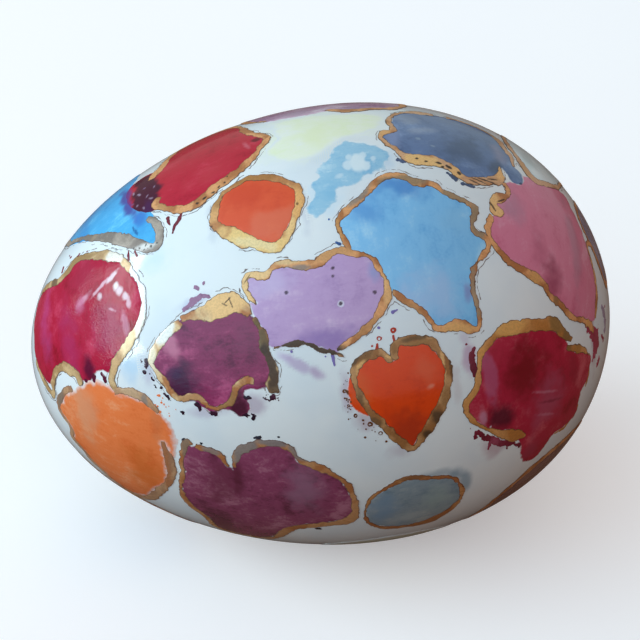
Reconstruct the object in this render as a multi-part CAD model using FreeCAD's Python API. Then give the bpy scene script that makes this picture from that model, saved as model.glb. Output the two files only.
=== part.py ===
import FreeCAD, Part
import os
from math import cos, pi, radians, sin, sqrt

# A hand-painted porcelain egg that lies on its side.  A hollow slip-cast body carries a clear
# glaze; on the glaze sit thin fired fields of coloured enamel, each edged with raised gold.
#
# Everything on the shell is placed with two numbers:
#   x  distance along the egg's long axis, from the middle, positive toward the blunt end;
#   a  angle round that axis from the crown, positive toward the front, 180 underneath.

os.makedirs("parts", exist_ok=True)

# ---- driving dimensions: millimetres and degrees
EGG_LENGTH = 80.0        # tip to blunt end over the glaze
EGG_WIDTH = 60.6         # greatest diameter over the glaze
GIRTH_SHIFT = 4.0        # how far the widest station sits toward the blunt end
REST_TILT = 6.0          # blunt end raised, the angle a hollow egg settles at
WALL = 3.2               # porcelain wall
GLAZE = 0.3              # glaze coat
ENAMEL = 0.15            # enamel fields
GOLD = 0.22              # raised gold lines
FOOT_DEPTH = 1.2         # ground off the underside so the egg does not roll
BARE_RIM = 0.35          # height above the foot at which the glaze stops
VENT_DIAMETER = 8.0      # drain hole in the middle of the foot
SMALLEST_SPOT = 0.3      # volume, mm3, below which a cut-off crumb of a coat is dropped
POLE_STOP = 39.88        # paint stays this side of both poles
SKIN_REACH = 100.0       # degrees of coat layer made either side of a field

ORIGIN = FreeCAD.Vector(0, 0, 0)
AXIS = FreeCAD.Vector(1, 0, 0)
UP = FreeCAD.Vector(0, 0, 1)


# ---- the shell form
def girth(x, grow=0.0):
    """Radius at station x of the shell lying `grow` outside the glazed surface."""
    length, width = EGG_LENGTH + 2 * grow, EGG_WIDTH + 2 * grow
    top = max(length * length - 4 * x * x, 0.0)
    return width / 2 * sqrt(top / (length * length - 8 * GIRTH_SHIFT * x
                                   + 4 * GIRTH_SHIFT * GIRTH_SHIFT))


def layer_curve(grow, to_poles):
    """Outline of one layer over the crown, from the tip to the blunt end."""
    half = EGG_LENGTH / 2 + grow
    ring = []
    for i in range(72):
        x = -half * cos(pi * i / 36)
        ring.append(FreeCAD.Vector(x, 0, girth(x, grow) * (1 if i < 36 else -1)))
    curve = Part.BSplineCurve()
    curve.interpolate(ring, PeriodicFlag=True)
    start, end = ring[0], ring[36]
    if not to_poles:
        start, end = [FreeCAD.Vector(x, 0, girth(x, grow)) for x in (-POLE_STOP, POLE_STOP)]
    edge = curve.toShape(curve.parameter(start), curve.parameter(end))
    return edge, edge.Vertexes[0].Point, edge.Vertexes[-1].Point


def layer(under, over, facing, reach, to_poles=False):
    """Solid between two layers, swept `reach` degrees either side of the way it faces."""
    low, low_tip, low_end = layer_curve(under, to_poles)
    high, high_tip, high_end = layer_curve(over, to_poles)
    ends = [Part.makeLine(low_tip, high_tip), Part.makeLine(low_end, high_end)]
    section = Part.Face(Part.Wire(Part.__sortEdges__([low, high] + ends)))
    section.rotate(ORIGIN, AXIS, facing - reach)
    return section.revolve(ORIGIN, AXIS, 2 * reach)


def shell_point(x, a):
    r, t = girth(x), radians(a)
    return FreeCAD.Vector(x, -r * sin(t), r * cos(t))


class Facet:
    """The plane that touches the shell at (x, a); painted outlines are drawn square to it."""

    def __init__(self, x, a):
        slope = (girth(x + 0.01) - girth(x - 0.01)) / 0.02
        t = radians(a)
        self.angle = a
        self.centre = shell_point(x, a)
        self.out = FreeCAD.Vector(-slope, -sin(t), cos(t)).normalize()
        self.east = FreeCAD.Vector(1, -slope * sin(t), slope * cos(t)).normalize()
        self.north = self.out.cross(self.east)
        self.depth = 0.0

    def flatten(self, points):
        flat = []
        for point in points:
            step = shell_point(point[0], point[1]) - self.centre
            self.depth = max(self.depth, 1.5 - step.dot(self.out))
            flat.append((step.dot(self.east), step.dot(self.north)))
        return flat

    def place(self, uv):
        return self.centre + self.east * uv[0] + self.north * uv[1] - self.out * self.depth

    def curve(self, flat, closed):
        line = Part.BSplineCurve()
        line.interpolate([self.place(uv) for uv in flat], PeriodicFlag=closed)
        return line.toShape()

    def prism(self, face):
        return face.extrude(self.out * (self.depth + 1.0))


def facet_for(points):
    xs, angles = [p[0] for p in points], [p[1] for p in points]
    return Facet((min(xs) + max(xs)) / 2, (min(angles) + max(angles)) / 2)


def blob(points):
    """Cutter with a smooth closed outline through the points."""
    facet = facet_for(points)
    flat = facet.flatten(points)
    return facet, facet.prism(Part.Face(Part.Wire(facet.curve(flat, True))))


def brush_line(points):
    """Cutter for a brush line through (x, a, width); closed when it ends where it began."""
    closed = points[0][:2] == points[-1][:2]
    if closed:
        points = points[:-1]
    facet = facet_for(points)
    flat = facet.flatten(points)
    left, right = [], []
    for i, (u, v) in enumerate(flat):
        before = flat[i - 1] if closed or i else flat[i]
        after = flat[(i + 1) % len(flat)] if closed or i + 1 < len(flat) else flat[i]
        du, dv = after[0] - before[0], after[1] - before[1]
        reach = points[i][2] / 2 / sqrt(du * du + dv * dv)
        left.append((u - dv * reach, v + du * reach))
        right.append((u + dv * reach, v - du * reach))
    if closed:
        rims = [Part.Wire(facet.curve(side, True)) for side in (left, right)]
        rims.sort(key=lambda rim: rim.BoundBox.DiagonalLength)
        face = Part.Face(rims[1]).cut(Part.Face(rims[0]))
    else:
        caps = [Part.makeLine(facet.place(left[k]), facet.place(right[k])) for k in (0, -1)]
        sides = [facet.curve(left, False), facet.curve(right, False)]
        face = Part.Face(Part.Wire(Part.__sortEdges__(sides + caps)))
    return facet, facet.prism(face)


# ---- painted fields: the outline of the colour, and the gold brush lines round it
FIELDS = {
    "cerulean": (
        [(-32.8, -24), (-32.4, -16), (-31.6, -9), (-30.3, -3), (-28.7, 2.5), (-26.8, 7.8),
         (-24.8, 12.8), (-22.8, 17.8), (-20.9, 21.8), (-19.7, 22), (-19.8, 16), (-20.5, 12),
         (-21.6, 8.8), (-22.9, 4), (-23.8, -2), (-24.2, -7), (-23.8, -13), (-23, -20),
         (-22.8, -28), (-24.6, -36), (-28, -40), (-31.4, -36)],
        [[(-24.6, -37, .6), (-28, -41, .8), (-31.8, -37, .9), (-33.1, -29, .9),
          (-32.9, -20, .9), (-32.3, -12, .8), (-31.2, -6, .7), (-29.8, -.5, .7),
          (-28.4, 4.5, 1), (-26.4, 10, 1.3), (-24.5, 15, 1.6), (-22.6, 19.2, 1.5),
          (-20.9, 22.9, 1.3), (-19.6, 24, 1), (-19, 21, 1.1), (-19.1, 17.5, 1.2),
          (-19.7, 14.3, .9), (-20.4, 12, .4)]]),
    "crimson": (
        [(-17.6, -19), (-18.3, -14.5), (-19.8, -12.5), (-21.6, -14), (-23.1, -11),
         (-23.3, -5), (-22.8, 1), (-21.9, 5.5), (-20.6, 8.8), (-19.4, 9), (-18.4, 10.6),
         (-16.9, 12.9), (-15.3, 14.3), (-13.7, 13.6), (-12.2, 11.6), (-10.3, 9.7),
         (-8.6, 7.8), (-7.1, 5.2), (-6, 2.2), (-4.9, -.8), (-4, -3.4), (-4.4, -6.3),
         (-5.6, -8.8), (-6.6, -12.2), (-7.1, -16), (-7.8, -20), (-9.4, -25), (-12.8, -28),
         (-16, -25)],
        [[(-19.9, -8.4, .8), (-19.3, -10.8, 1.5), (-18.5, -14, 1.4), (-17.9, -18, 1),
          (-17, -22.5, .8), (-15.4, -27, .9), (-12.6, -29, .9), (-9.6, -26.5, .9),
          (-7.9, -21.5, .7), (-7.3, -18, .7), (-6.8, -14.5, 1), (-6.2, -11.2, 1),
          (-5.3, -8.8, 1), (-4.4, -6.9, .8), (-3.9, -4.6, 1), (-4.2, -2.4, .9),
          (-4.9, -.2, .7), (-5.6, 2.4, .8), (-6.6, 4.8, 1), (-7.8, 7, 1.2), (-9.2, 8.9, 1.3),
          (-11, 10.8, 1.3), (-12.6, 12.8, 1.4), (-14.2, 14.6, 1.2), (-16, 14.2, 1),
          (-17.6, 12, .9), (-18.8, 9.5, 1.1), (-19.3, 7, 1), (-18.7, 5.2, .5)]]),
    "bud": (
        [(-6.4, 11), (-4.4, 12.3), (-2.6, 13.8), (-1.3, 16), (-.3, 18.3), (-.2, 21),
         (-.7, 24.5), (-1.5, 28), (-2.6, 31.6), (-4, 33.9), (-5.9, 32.3), (-8, 30),
         (-9.5, 27.4), (-10.9, 24.9), (-11.5, 22), (-11.3, 18.8), (-10.8, 16), (-10, 13.7),
         (-8.6, 12.5)],
        [[(-6.4, 11, 1), (-4.4, 12.3, 1.1), (-2.6, 13.8, 1), (-1.3, 16, .9), (-.3, 18.3, .9),
          (-.2, 21, 1), (-.7, 24.5, .9), (-1.5, 28, .9), (-2.6, 31.6, 1.1), (-4, 33.9, 1.4),
          (-5.9, 32.3, 1.3), (-8, 30, 1.9), (-9.5, 27.4, 2), (-10.9, 24.9, 1.2),
          (-11.5, 22, 1.1), (-11.3, 18.8, .9), (-10.8, 16, .7), (-10, 13.7, .5),
          (-8.6, 12.5, .5), (-6.4, 11, 1)]]),
    "lilac": (
        [(-7.3, 40.2), (-5.4, 40.8), (-4.4, 38.8), (-2.8, 38.6), (-1.2, 39.4), (.2, 40),
         (1.7, 39), (3.2, 37.4), (4.6, 37.4), (6, 38.1), (7.2, 38.8), (8.3, 40.3), (9, 43),
         (9.6, 46.5), (9.4, 48.8), (8.8, 51), (8, 53.4), (6.6, 56), (5, 58), (3.4, 59.8),
         (2, 61), (.8, 60.6), (-.6, 59), (-2.4, 58.2), (-4, 58.2), (-5.4, 58.2), (-6.1, 57),
         (-6.5, 54), (-7, 51.4), (-7.5, 49.6), (-7.7, 46.5), (-8.2, 43.5), (-8.2, 41.4)],
        [[(-7, 47.6, .5), (-7.7, 45.8, .7), (-8.3, 43.5, .6), (-8.4, 41.3, .7),
          (-7.9, 39.6, .9), (-6.8, 39.9, 1), (-5.5, 40.2, 1.1), (-4.6, 38.8, 1),
          (-3.6, 38.2, 1.1), (-2.2, 38.6, 1.2), (-.8, 39.3, 1.3), (.4, 39.5, 1.3),
          (1.9, 38.5, 1.2), (3.2, 37.1, 1), (4.5, 36.9, .9), (5.7, 37.7, .8), (6.9, 38.4, .6),
          (8, 39.6, .6), (8.7, 41.6, .6), (9.3, 44.2, .6), (9.7, 46.8, .8), (9.6, 48.8, 1),
          (9, 50.7, 1.1), (8.3, 52.8, 1.1), (7.4, 54.7, .9), (6.3, 56.4, .9), (5.1, 57.9, .8),
          (4, 59.1, .8), (3, 60.2, .6), (2.3, 60.7, .4)],
         [(-5.5, 58.4, .35), (-4, 58, .4), (-2.4, 58, .6), (-1, 58.5, .5), (0, 59.8, .7),
          (1, 60.6, .7), (2, 61.2, .6), (2.7, 61.9, .5), (3.4, 62.8, .3)]]),
    "plum": (
        [(-17, 48.6), (-15, 48.2), (-13, 48.4), (-11.3, 48), (-10.1, 47), (-9, 48.6),
         (-8.1, 50), (-7.6, 52), (-7.1, 54.5), (-6.9, 57.5), (-6.6, 60), (-6.3, 62.5),
         (-6.3, 65), (-7, 67.4), (-8.4, 68.4), (-9.7, 68.2), (-10.2, 70.4), (-9.8, 73.4),
         (-10.8, 75.4), (-12, 73.8), (-13.2, 73.8), (-14.3, 74.8), (-15.3, 73.4),
         (-16.4, 71.4), (-18.6, 71.4), (-19.7, 70), (-20.6, 67), (-21.4, 63.5), (-22, 60),
         (-21.4, 57), (-20.3, 54), (-18.8, 51)],
        [[(-17, 48.2, .6), (-15.4, 47.7, 1.3), (-13.8, 47.5, 2.1), (-12.3, 46.7, 3),
          (-10.9, 45.9, 2.9), (-9.6, 46.7, 2.2), (-8.7, 48.2, 1.5), (-8.2, 49.8, .6)],
         [(-17.3, 48.9, .7), (-18.7, 51, 1.1), (-20.2, 53.9, 1.2), (-21.3, 57, 1.1),
          (-21.7, 59.6, .8), (-21.2, 62.2, .7), (-20.5, 64.8, .8), (-19.9, 67.4, .9),
          (-19.2, 69.9, .8), (-18.3, 70.9, .7), (-17.4, 70.4, .7), (-16.4, 70.1, .6),
          (-15.6, 71.3, .6), (-14.9, 72.8, .6), (-14.1, 73.7, .6), (-13.2, 73.1, .6),
          (-12.2, 72.2, .6), (-11.6, 70.6, .7), (-11.2, 68.6, .8), (-10.5, 67, .9),
          (-9.5, 66.3, .9), (-8.7, 66.7, .5)],
         [(-7.7, 50.6, .4), (-7.3, 52.6, .7), (-6.8, 55, .9), (-6.8, 57.6, 1.1),
          (-6.6, 60, .7), (-6.1, 62.5, .9), (-6, 65, .9), (-6.3, 67.2, 1.3),
          (-6.2, 69.8, .9)]]),
    "heart": (
        [(9.7, 61.4), (12, 61), (14, 61.4), (15, 63.8), (15.7, 66.3), (16, 69), (15.8, 72),
         (15.4, 75), (14.8, 78), (13.9, 81), (12.9, 84), (11.8, 86.8), (10.6, 89), (9.4, 87),
         (8.1, 84), (6.9, 80.8), (5.9, 78), (5, 77.5), (4.1, 76.3), (3.5, 74.2), (3.3, 71.5),
         (3.6, 69), (4.1, 67), (4.8, 65), (5.8, 63.6), (7, 62.6), (8, 62.6), (8.7, 64.2),
         (9.3, 65.2), (9.7, 63.6)],
        [[(9.7, 64.4, .3), (9.5, 62.8, .7), (9.8, 61, .8), (11, 60.7, 1.1), (12.7, 60.8, 1.1),
          (14.2, 61.6, 1.1), (15, 63.8, .9), (15.7, 66.3, .8), (16.1, 68.9, .9),
          (15.9, 71.8, .9), (15.6, 74.6, .9), (15, 77.6, 1.2), (14.1, 80.4, 1.3),
          (13.2, 83, 1.2), (12.2, 85.7, 1.2), (11.3, 88, 1.1), (10.4, 89.2, .8),
          (9.4, 87.4, 1), (8.2, 84.5, 1.1), (7, 81, 1), (5.8, 77.6, .9), (4.9, 74, .8),
          (4.3, 70.6, .8), (4.2, 67.5, .9), (4.7, 65, 1.1), (5.7, 63.4, 1.1), (6.9, 62.6, 1),
          (7.8, 62.5, .7), (8.5, 63.8, .4), (8.9, 65, .2)]]),
    "sky": (
        [(4.2, 29.2), (4.6, 32), (5, 34.6), (5.5, 36.9), (6.9, 38.4), (8.1, 39.8), (8.8, 41.8),
         (9.4, 44.4), (9.9, 46.8), (10.7, 49), (12, 51.2), (13.4, 53.3), (14.4, 55.8),
         (15.1, 58.2), (16.4, 58.4), (17.7, 58.4), (19, 59.6), (20.6, 60.2), (20.8, 56.5),
         (20.6, 52), (20.4, 49), (20.6, 45.5), (21.4, 42), (22.5, 39.6), (23.2, 37),
         (22.8, 35), (21.6, 33.6), (21.3, 31), (22, 27.4), (21.8, 25.2), (20, 23.2),
         (18.4, 21.8), (17.6, 19.8), (16.4, 18.9), (15, 18.9), (13.8, 17.5), (12.2, 16.7),
         (10.8, 17.1), (9.4, 19.4), (7.8, 22.8), (6.2, 25.3), (4.9, 27.6)],
        [[(2.7, 25.6, .3), (3.4, 27, .6), (4.1, 28.3, .7)],
         [(5.4, 36.9, .5), (4.9, 34.5, .7), (4.4, 31.8, .6), (4.3, 29.4, .7), (5, 27.6, .9),
          (6, 25.7, .8), (7.2, 23.9, .9), (8.3, 21.9, .9), (9.2, 19.9, .9), (10.2, 17.8, .9),
          (11.2, 16.9, 1), (12.4, 16.6, 1), (13.5, 17.2, .9), (14.4, 18.3, .9),
          (15.3, 18.9, 1), (16.3, 18.9, 1.1), (17.3, 19.5, .9), (17.9, 20.9, .7),
          (18.7, 22, .8), (20, 23.2, .8), (21.2, 24.4, .8), (22, 25.8, .8), (21.9, 28, .7),
          (21.4, 30.6, .7), (21.4, 32.8, .8), (22.2, 34.2, .8), (23, 35.5, .8),
          (23.1, 37.4, .7), (22.5, 39.5, .7), (21.6, 41.6, .6), (20.9, 44, .6),
          (20.5, 46.6, .6), (20.4, 49.4, .7), (20.6, 52.2, .7), (20.7, 55, .6),
          (20.7, 57.8, .6), (20.5, 60, .8), (19.5, 59.9, 1.2), (18.4, 58.8, 1.5),
          (17.2, 58.4, 1.3), (16, 58.7, 1.1), (15.1, 58.2, .7), (14.5, 56.4, .6),
          (13.9, 54.5, .6), (13, 52.7, .7), (11.8, 51, .8), (10.8, 49.4, .7),
          (10, 47.6, .7)]]),
    "slate": (
        [(14.7, -13.6), (13.5, -10.6), (13, -6), (13.1, -1.2), (12, -.2), (11.4, 1.4),
         (12, 3.6), (12.8, 6), (13.6, 8.8), (15, 9.8), (16.8, 9.8), (18.5, 10.2),
         (19.9, 11.6), (20.8, 13.8), (21.6, 15.6), (22.9, 15.4), (24.6, 13.4), (25.8, 11.4),
         (26.1, 8.6), (26.5, 6.4), (27.2, 9), (27.9, 11.4), (28.6, 11), (29, 8.4),
         (28.8, 5.4), (28.1, 3.4), (28, 0), (27.9, -3.6), (27.4, -7), (27, -11), (26, -14.4),
         (23.4, -16.6), (20, -16.6), (17, -15.6)],
        [[(18.6, -16.6, .9), (16.7, -16, 1.2), (14.9, -14.8, .8), (13.7, -12.6, .6),
          (12.9, -10.3, .5), (12.6, -8, .6), (12.6, -5.2, .6), (12.9, -2.9, .6),
          (12.7, -1.4, .8), (11.8, -.6, .9), (11.1, .9, .6), (11.4, 3.2, .6),
          (12.1, 5.3, .7), (13, 7, .5), (13.5, 9, .6), (14.4, 10.2, 1.3), (15.7, 10.7, 2),
          (17.2, 10.7, 2.1), (18.6, 11.2, 1.6), (19.7, 12.5, 1.4), (20.5, 14.2, 1.2),
          (21.2, 15.8, 1), (22.3, 16.2, 1.1), (23.4, 15.6, 1.3), (24.7, 14.4, 1.3),
          (25.8, 12.6, 1.2), (26.2, 10.2, .7), (26.2, 8, .5), (26.2, 6.4, .25)],
         [(28.2, 2.8, .25), (28.1, .2, .6), (28.2, -2.6, .7), (27.9, -5, .9),
          (27.4, -7.6, .9), (27.1, -10.5, .9), (26.5, -13.5, .7), (25, -16.2, .6),
          (22.5, -17.4, .6), (20.4, -17.2, .6)]]),
    "seafoam": (
        [(28.2, -18), (28.5, -12), (29, -7), (29.7, -2), (30.3, 2), (31, 4.2), (31.8, 2.8),
         (32.8, 0), (33.7, -4), (34.2, -8.5), (34.5, -14), (34.8, -22), (34.2, -31.5),
         (32, -37), (29.2, -33.5), (28.1, -26)],
        [[(27.9, -18, .7), (28.2, -12, .8), (28.7, -7, .9), (29.4, -2, 1), (30.1, 2.2, 1.1),
          (30.9, 4.6, 1.3), (31.8, 3.2, .9), (32.9, .3, .8), (33.8, -3.5, .8),
          (34.3, -8, .7), (34.6, -14, .6), (34.9, -22, .6), (34.4, -32, .7), (32, -38, .8),
          (29, -34, .8), (27.9, -26, .7), (27.9, -18, .7)]]),
    "rose": (
        [(26.8, 13.6), (28, 12.4), (28.9, 11.8), (29.3, 9.4), (29.4, 6.6), (30, 5.6),
         (31.2, 5.4), (32.4, 3.2), (33.6, 0), (34.8, -3), (35.3, 1), (35.9, 8), (36.3, 14),
         (36.6, 20), (36.9, 27), (37.1, 36), (37.3, 45), (37.2, 54), (36.9, 61),
         (36.6, 67.5), (35.7, 67.2), (34.6, 65), (33.4, 63), (32.5, 60), (31.9, 57),
         (31.1, 54.6), (30.4, 52), (30, 49.4), (29.2, 47), (28.2, 45.4), (27, 44),
         (25.8, 42), (24.9, 39.8), (24.1, 37.4), (23.5, 35), (23.3, 32.4), (23.7, 29.8),
         (24.4, 27.6), (24.8, 25.6), (24.6, 23), (25.2, 21.2), (26.2, 20), (26.7, 17.8)],
        [[(26.4, 14, .7), (26.8, 16, .7), (26.7, 18.4, .8), (26, 20.2, 1.1), (25.1, 21.2, 1.3),
          (24.6, 22.8, 1), (24.6, 24.5, 1.2), (24.9, 26.2, 1.6), (24.8, 27.6, 1)],
         [(24.1, 27.6, .4), (23.6, 30, .6), (23.3, 32.5, .6), (23.5, 35, .8), (24.1, 37.5, .7),
          (24.9, 40, .6), (25.9, 42.3, .7), (27.2, 44.5, .9), (28.4, 46.2, 1.3),
          (29.3, 47.8, 1.1), (30, 49.9, .8), (30.4, 52.4, .7), (31.2, 55, .7),
          (32, 57.6, .6), (32.6, 60.4, .7), (33.4, 62.9, .8), (34.5, 65, .9),
          (35.4, 67.6, 1), (36, 71, .9), (36.3, 74.5, .4)],
         [(37.6, 19, .4), (36.9, 25, .7), (37.1, 31, .6), (37.3, 38, .5), (37.4, 47, .5),
          (37.3, 55, .5), (37, 62, .5), (36.7, 68, .5)]]),
    "ruby_blunt": (
        [(23.2, 63), (25, 62.4), (27, 62.6), (28.7, 63), (30, 64), (30.9, 66.4), (31.4, 69),
         (32, 72), (32.3, 74.6), (33.3, 77.4), (34.4, 80.2), (35, 83), (35.5, 87),
         (35.2, 92), (34.7, 97), (33.9, 98.6), (33.3, 103), (32.8, 109), (31.4, 110),
         (29.4, 107.6), (28.2, 110), (26.6, 112.6), (25.4, 111), (24.9, 105), (24.7, 99.5),
         (23.6, 96), (22.4, 93.4), (21, 91), (19.8, 88.4), (18.8, 85.6), (18.1, 82.6),
         (18.4, 79.6), (19.3, 77), (19.8, 74), (20.1, 70.5), (20.6, 67.2), (21.7, 65)],
        [[(25.4, 98.4, .5), (24.4, 96.9, 1.5), (23.1, 94.5, 1.8), (21.8, 92.2, .9),
          (20.5, 89.8, .6), (19.3, 87, .6), (18.4, 84.5, .7), (17.9, 82, .8), (18.1, 79.5, .9),
          (18.9, 77.5, .9), (19.6, 75.4, .8), (19.9, 72.5, .7), (20.2, 69, .8),
          (20.7, 66.4, 1), (21.6, 64.7, 1), (22.6, 62.9, 1.2), (23.8, 61.8, 1.6),
          (25.4, 61.5, 1.8), (27, 61.9, 1.6), (28.7, 62.3, 1.6), (30.2, 63, 1.8),
          (31.1, 64.9, 1.8), (31.6, 67.2, 1.4), (32.2, 69.5, 1.1), (32.9, 71.8, .8)],
         [(32, 73.5, .8), (32.9, 75.5, 1.2), (33.9, 77.8, 1.2), (34.6, 80.2, .9),
          (35, 82.7, .5), (35.3, 85, .3)]]),
    "teal_oval": (
        [(3.4, 110), (3.9, 106.2), (4.7, 103.4), (6.2, 101.4), (8, 99.4), (10, 98.8),
         (11.7, 99.8), (13.4, 101), (15, 102.3), (16, 105.5), (16.4, 109.8), (16.1, 114),
         (15, 117.5), (13.2, 120.6), (11.2, 122.3), (8.8, 122.3), (6.8, 121.3), (4.9, 119.2),
         (3.8, 116.2), (3.4, 113)],
        [[(3.4, 110, .6), (3.9, 106.2, .6), (4.7, 103.4, .7), (6.2, 101.4, .8), (8, 99.4, 1),
          (10, 98.8, 1), (11.7, 99.8, 1), (13.4, 101, .8), (15, 102.3, .8), (16, 105.5, .8),
          (16.4, 109.8, .9), (16.1, 114, .9), (15, 117.5, 1.2), (13.2, 120.6, 1.6),
          (11.2, 122.3, 1.7), (8.8, 122.3, 1.2), (6.8, 121.3, 1.2), (4.9, 119.2, 1),
          (3.8, 116.2, .8), (3.4, 113, .7), (3.4, 110, .6)]]),
    "plum_belly": (
        [(-18.8, 86.8), (-17.4, 86.2), (-15.8, 87.2), (-14.6, 88.6), (-13.8, 91), (-13, 93.4),
         (-12.5, 90.6), (-12.1, 87.8), (-10.9, 85.8), (-9.2, 84.4), (-7.4, 83.8), (-5.8, 84.6),
         (-4.8, 87), (-4.2, 89.2), (-2.8, 90.6), (-1.2, 92.4), (.2, 94.6), (1.4, 97),
         (2, 100), (2.2, 104), (2.2, 108.5), (1.9, 111.6), (.7, 114), (-1.4, 115),
         (-3.4, 115.8), (-5.4, 116.8), (-6.8, 118.6), (-7.8, 121.8), (-8.5, 125.4),
         (-9.6, 129.6), (-13, 131.6), (-16.2, 130), (-17.3, 126), (-17.8, 121.4),
         (-18.8, 117.4), (-19.8, 113.4), (-20.2, 109), (-20, 104.6), (-19.4, 99),
         (-19.2, 94), (-19.2, 89.4)],
        [[(-18, 84.4, .8), (-18.9, 86.4, .9), (-19.2, 89, .6), (-19.6, 93, .6),
          (-19.7, 97, .7), (-20.1, 101, .6), (-20.4, 105, .6), (-20.3, 109.5, .8),
          (-19.8, 113.5, .8), (-18.9, 117, .9), (-18, 120, 1), (-17.5, 124, 1),
          (-16.8, 129, 1), (-13.4, 132.2, .9), (-10, 130.6, 1), (-8.8, 127, 1.2),
          (-8.2, 123.8, 1.3), (-7.5, 120.6, 1.3), (-6.4, 118, 1.3), (-4.8, 116.5, 1.4),
          (-3, 115.7, 1.4), (-1.2, 114.8, 1.4), (.4, 114, 1.7), (1.6, 112, 1.7),
          (2.1, 109, 1), (2.2, 105.5, .9), (2.1, 102, .9), (1.8, 99, .9), (1.2, 96.8, .8),
          (.2, 94.6, .7), (-.9, 92.8, .9), (-2.2, 91.2, 1.1), (-3.5, 89.9, 1.1),
          (-4.4, 88.3, .8), (-4.8, 86.5, .8), (-5.6, 84.9, .8), (-6.7, 83.9, .8),
          (-8.2, 83.8, .9), (-9.6, 84.4, 1), (-11, 85.5, 1.1), (-12, 87.4, 1),
          (-12.5, 89.8, .9), (-12.8, 92.2, .6)],
         [(-17.4, 85.9, .8), (-16.3, 86.7, .9), (-15.1, 87.4, .9), (-14.3, 88.9, .9),
          (-13.8, 90.8, .7), (-13.4, 92.4, .4)]]),
    "tangerine": (
        [(-31.4, 68.4), (-29.8, 66.6), (-28.3, 68.2), (-26.8, 69.8), (-25, 69.8),
         (-23.5, 71.4), (-22.4, 73.8), (-21.4, 76.4), (-20.7, 79.2), (-20.3, 83),
         (-20.3, 87), (-20.6, 91), (-20.9, 96), (-21.4, 100.4), (-22.1, 105), (-23, 109.4),
         (-23.9, 114), (-24.8, 119), (-25.8, 124), (-28, 128), (-30.2, 125), (-31.4, 120),
         (-32.7, 117), (-33.2, 112.4), (-34.4, 109), (-34.6, 105), (-34.3, 100),
         (-34.7, 95.6), (-35.6, 91), (-35.7, 86), (-35, 80), (-34.4, 75), (-33, 71.4)],
        [[(-27.2, 69.4, .8), (-25.6, 69.2, 1), (-24.2, 70.3, 1.1), (-23.1, 72, 1),
          (-22.3, 74, .8), (-21.7, 75.8, .4)],
         [(-21.7, 86, .5), (-21.4, 90.5, 1), (-21.2, 96, 1.3), (-21.6, 101, 1.1),
          (-22.2, 105, 1.1), (-23.1, 109, 1), (-23.9, 113.4, 1.2), (-24.7, 118, 1.2),
          (-25.6, 123, 1), (-28, 128.8, .9), (-30.5, 126, .7), (-31.6, 120.6, .7),
          (-32.8, 117.4, .7), (-33.3, 112.8, .7), (-34.4, 109.6, .7), (-34.8, 105.4, .7),
          (-34.5, 100.4, .6), (-34.9, 95.8, .6), (-35.7, 91, .6), (-35.9, 86, .7),
          (-35.4, 80.4, .8), (-34.7, 75, .8), (-33.4, 71.2, .6)]]),
    "ruby_tip": (
        [(-37.4, -2), (-36.2, 2), (-35.3, 6.6), (-34.2, 11), (-32.4, 11.8), (-30.4, 11.6),
         (-28.8, 14.2), (-27.2, 17.4), (-25.6, 21), (-24.2, 24.4), (-23.7, 27.6),
         (-22.9, 32), (-22.3, 37), (-22.1, 42), (-22.7, 46), (-23.7, 49.4), (-24.8, 52.6),
         (-26, 56), (-26.8, 59.6), (-27.9, 62), (-29, 61.2), (-30, 63.6), (-31.2, 66),
         (-32, 63.6), (-33, 61), (-34.2, 59.2), (-35.2, 61), (-35.9, 65), (-36.3, 70),
         (-37, 72), (-37.8, 67), (-38.3, 60), (-38.6, 50), (-38.7, 40), (-38.6, 28),
         (-38.5, 16), (-38.2, 6)],
        [[(-37, -2.6, .5), (-36, 2, .6), (-35.1, 7, .8), (-34.1, 11, 1), (-32.6, 11.4, 1),
          (-31.1, 9.7, .9), (-29.7, 12, .9), (-28.1, 15, 1.1), (-26.7, 18, 1.3),
          (-25.4, 21, 1.2), (-24.3, 23.6, 1.1), (-23.6, 27, .8), (-22.7, 31.6, .7),
          (-22, 36.4, .8), (-21.8, 41, .8), (-22.3, 45.6, .8), (-23.4, 49.8, 1),
          (-24.8, 54, 1.2), (-26, 57.6, 1.1), (-26.9, 61, 1), (-27.4, 64, .9),
          (-27.4, 66.6, .9), (-27, 68.6, .6)],
         [(-28.7, 61.2, .6), (-28.1, 62.8, .8)],
         [(-31.8, 67.4, .5), (-32, 65, .9), (-32.5, 62.7, 1.1), (-33.3, 60.9, 1.4),
          (-34.3, 60, 1.3), (-35.2, 61.8, .9), (-35.8, 65, .9), (-36.1, 69, .9),
          (-36.3, 73.6, 1.1), (-36.4, 78.6, 1.2), (-37.2, 76.6, 1.1), (-37.9, 70.4, .9),
          (-38.3, 63.6, .7), (-38.6, 56, .4)]]),
    "mauve": (
        [(-6.6, -24), (-5.1, -19.6), (-3.5, -17), (-.8, -15.8), (1.8, -15.6), (3.6, -16.6),
         (5.4, -16.6), (7.2, -15.4), (9, -15.6), (10.6, -16.6), (12.7, -17), (14.1, -20),
         (14.6, -26), (13.6, -34), (10, -40.2), (5, -43.2), (-.6, -42.2), (-4.6, -36.4),
         (-6.7, -30)],
        [[(4.2, -17.6, .6), (5.6, -16.4, 1.2), (7.4, -15.2, 1.3), (9, -15.5, 1),
          (10.7, -16.6, .8), (12.7, -17.2, .9), (14.2, -20, .8), (14.8, -26, .8),
          (13.8, -34.4, .8), (10.2, -40.6, .9), (5, -43.6, 1), (-.8, -42.6, .9),
          (-4.9, -36.6, .8), (-6.8, -30, .8), (-6.6, -23.6, .7), (-5.2, -19.6, .6),
          (-3.8, -17.4, .4)]]),
    "lemon_wash": (
        [(-3.4, -13.6), (-2.8, -9), (-2.4, -5), (-2.8, -1.6), (-3.8, 1.6), (-3.2, 4.6),
         (-2, 6.6), (.4, 8), (2.8, 7.6), (4, 4.6), (5.4, 2), (8, .6), (9.8, -1.6),
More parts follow.
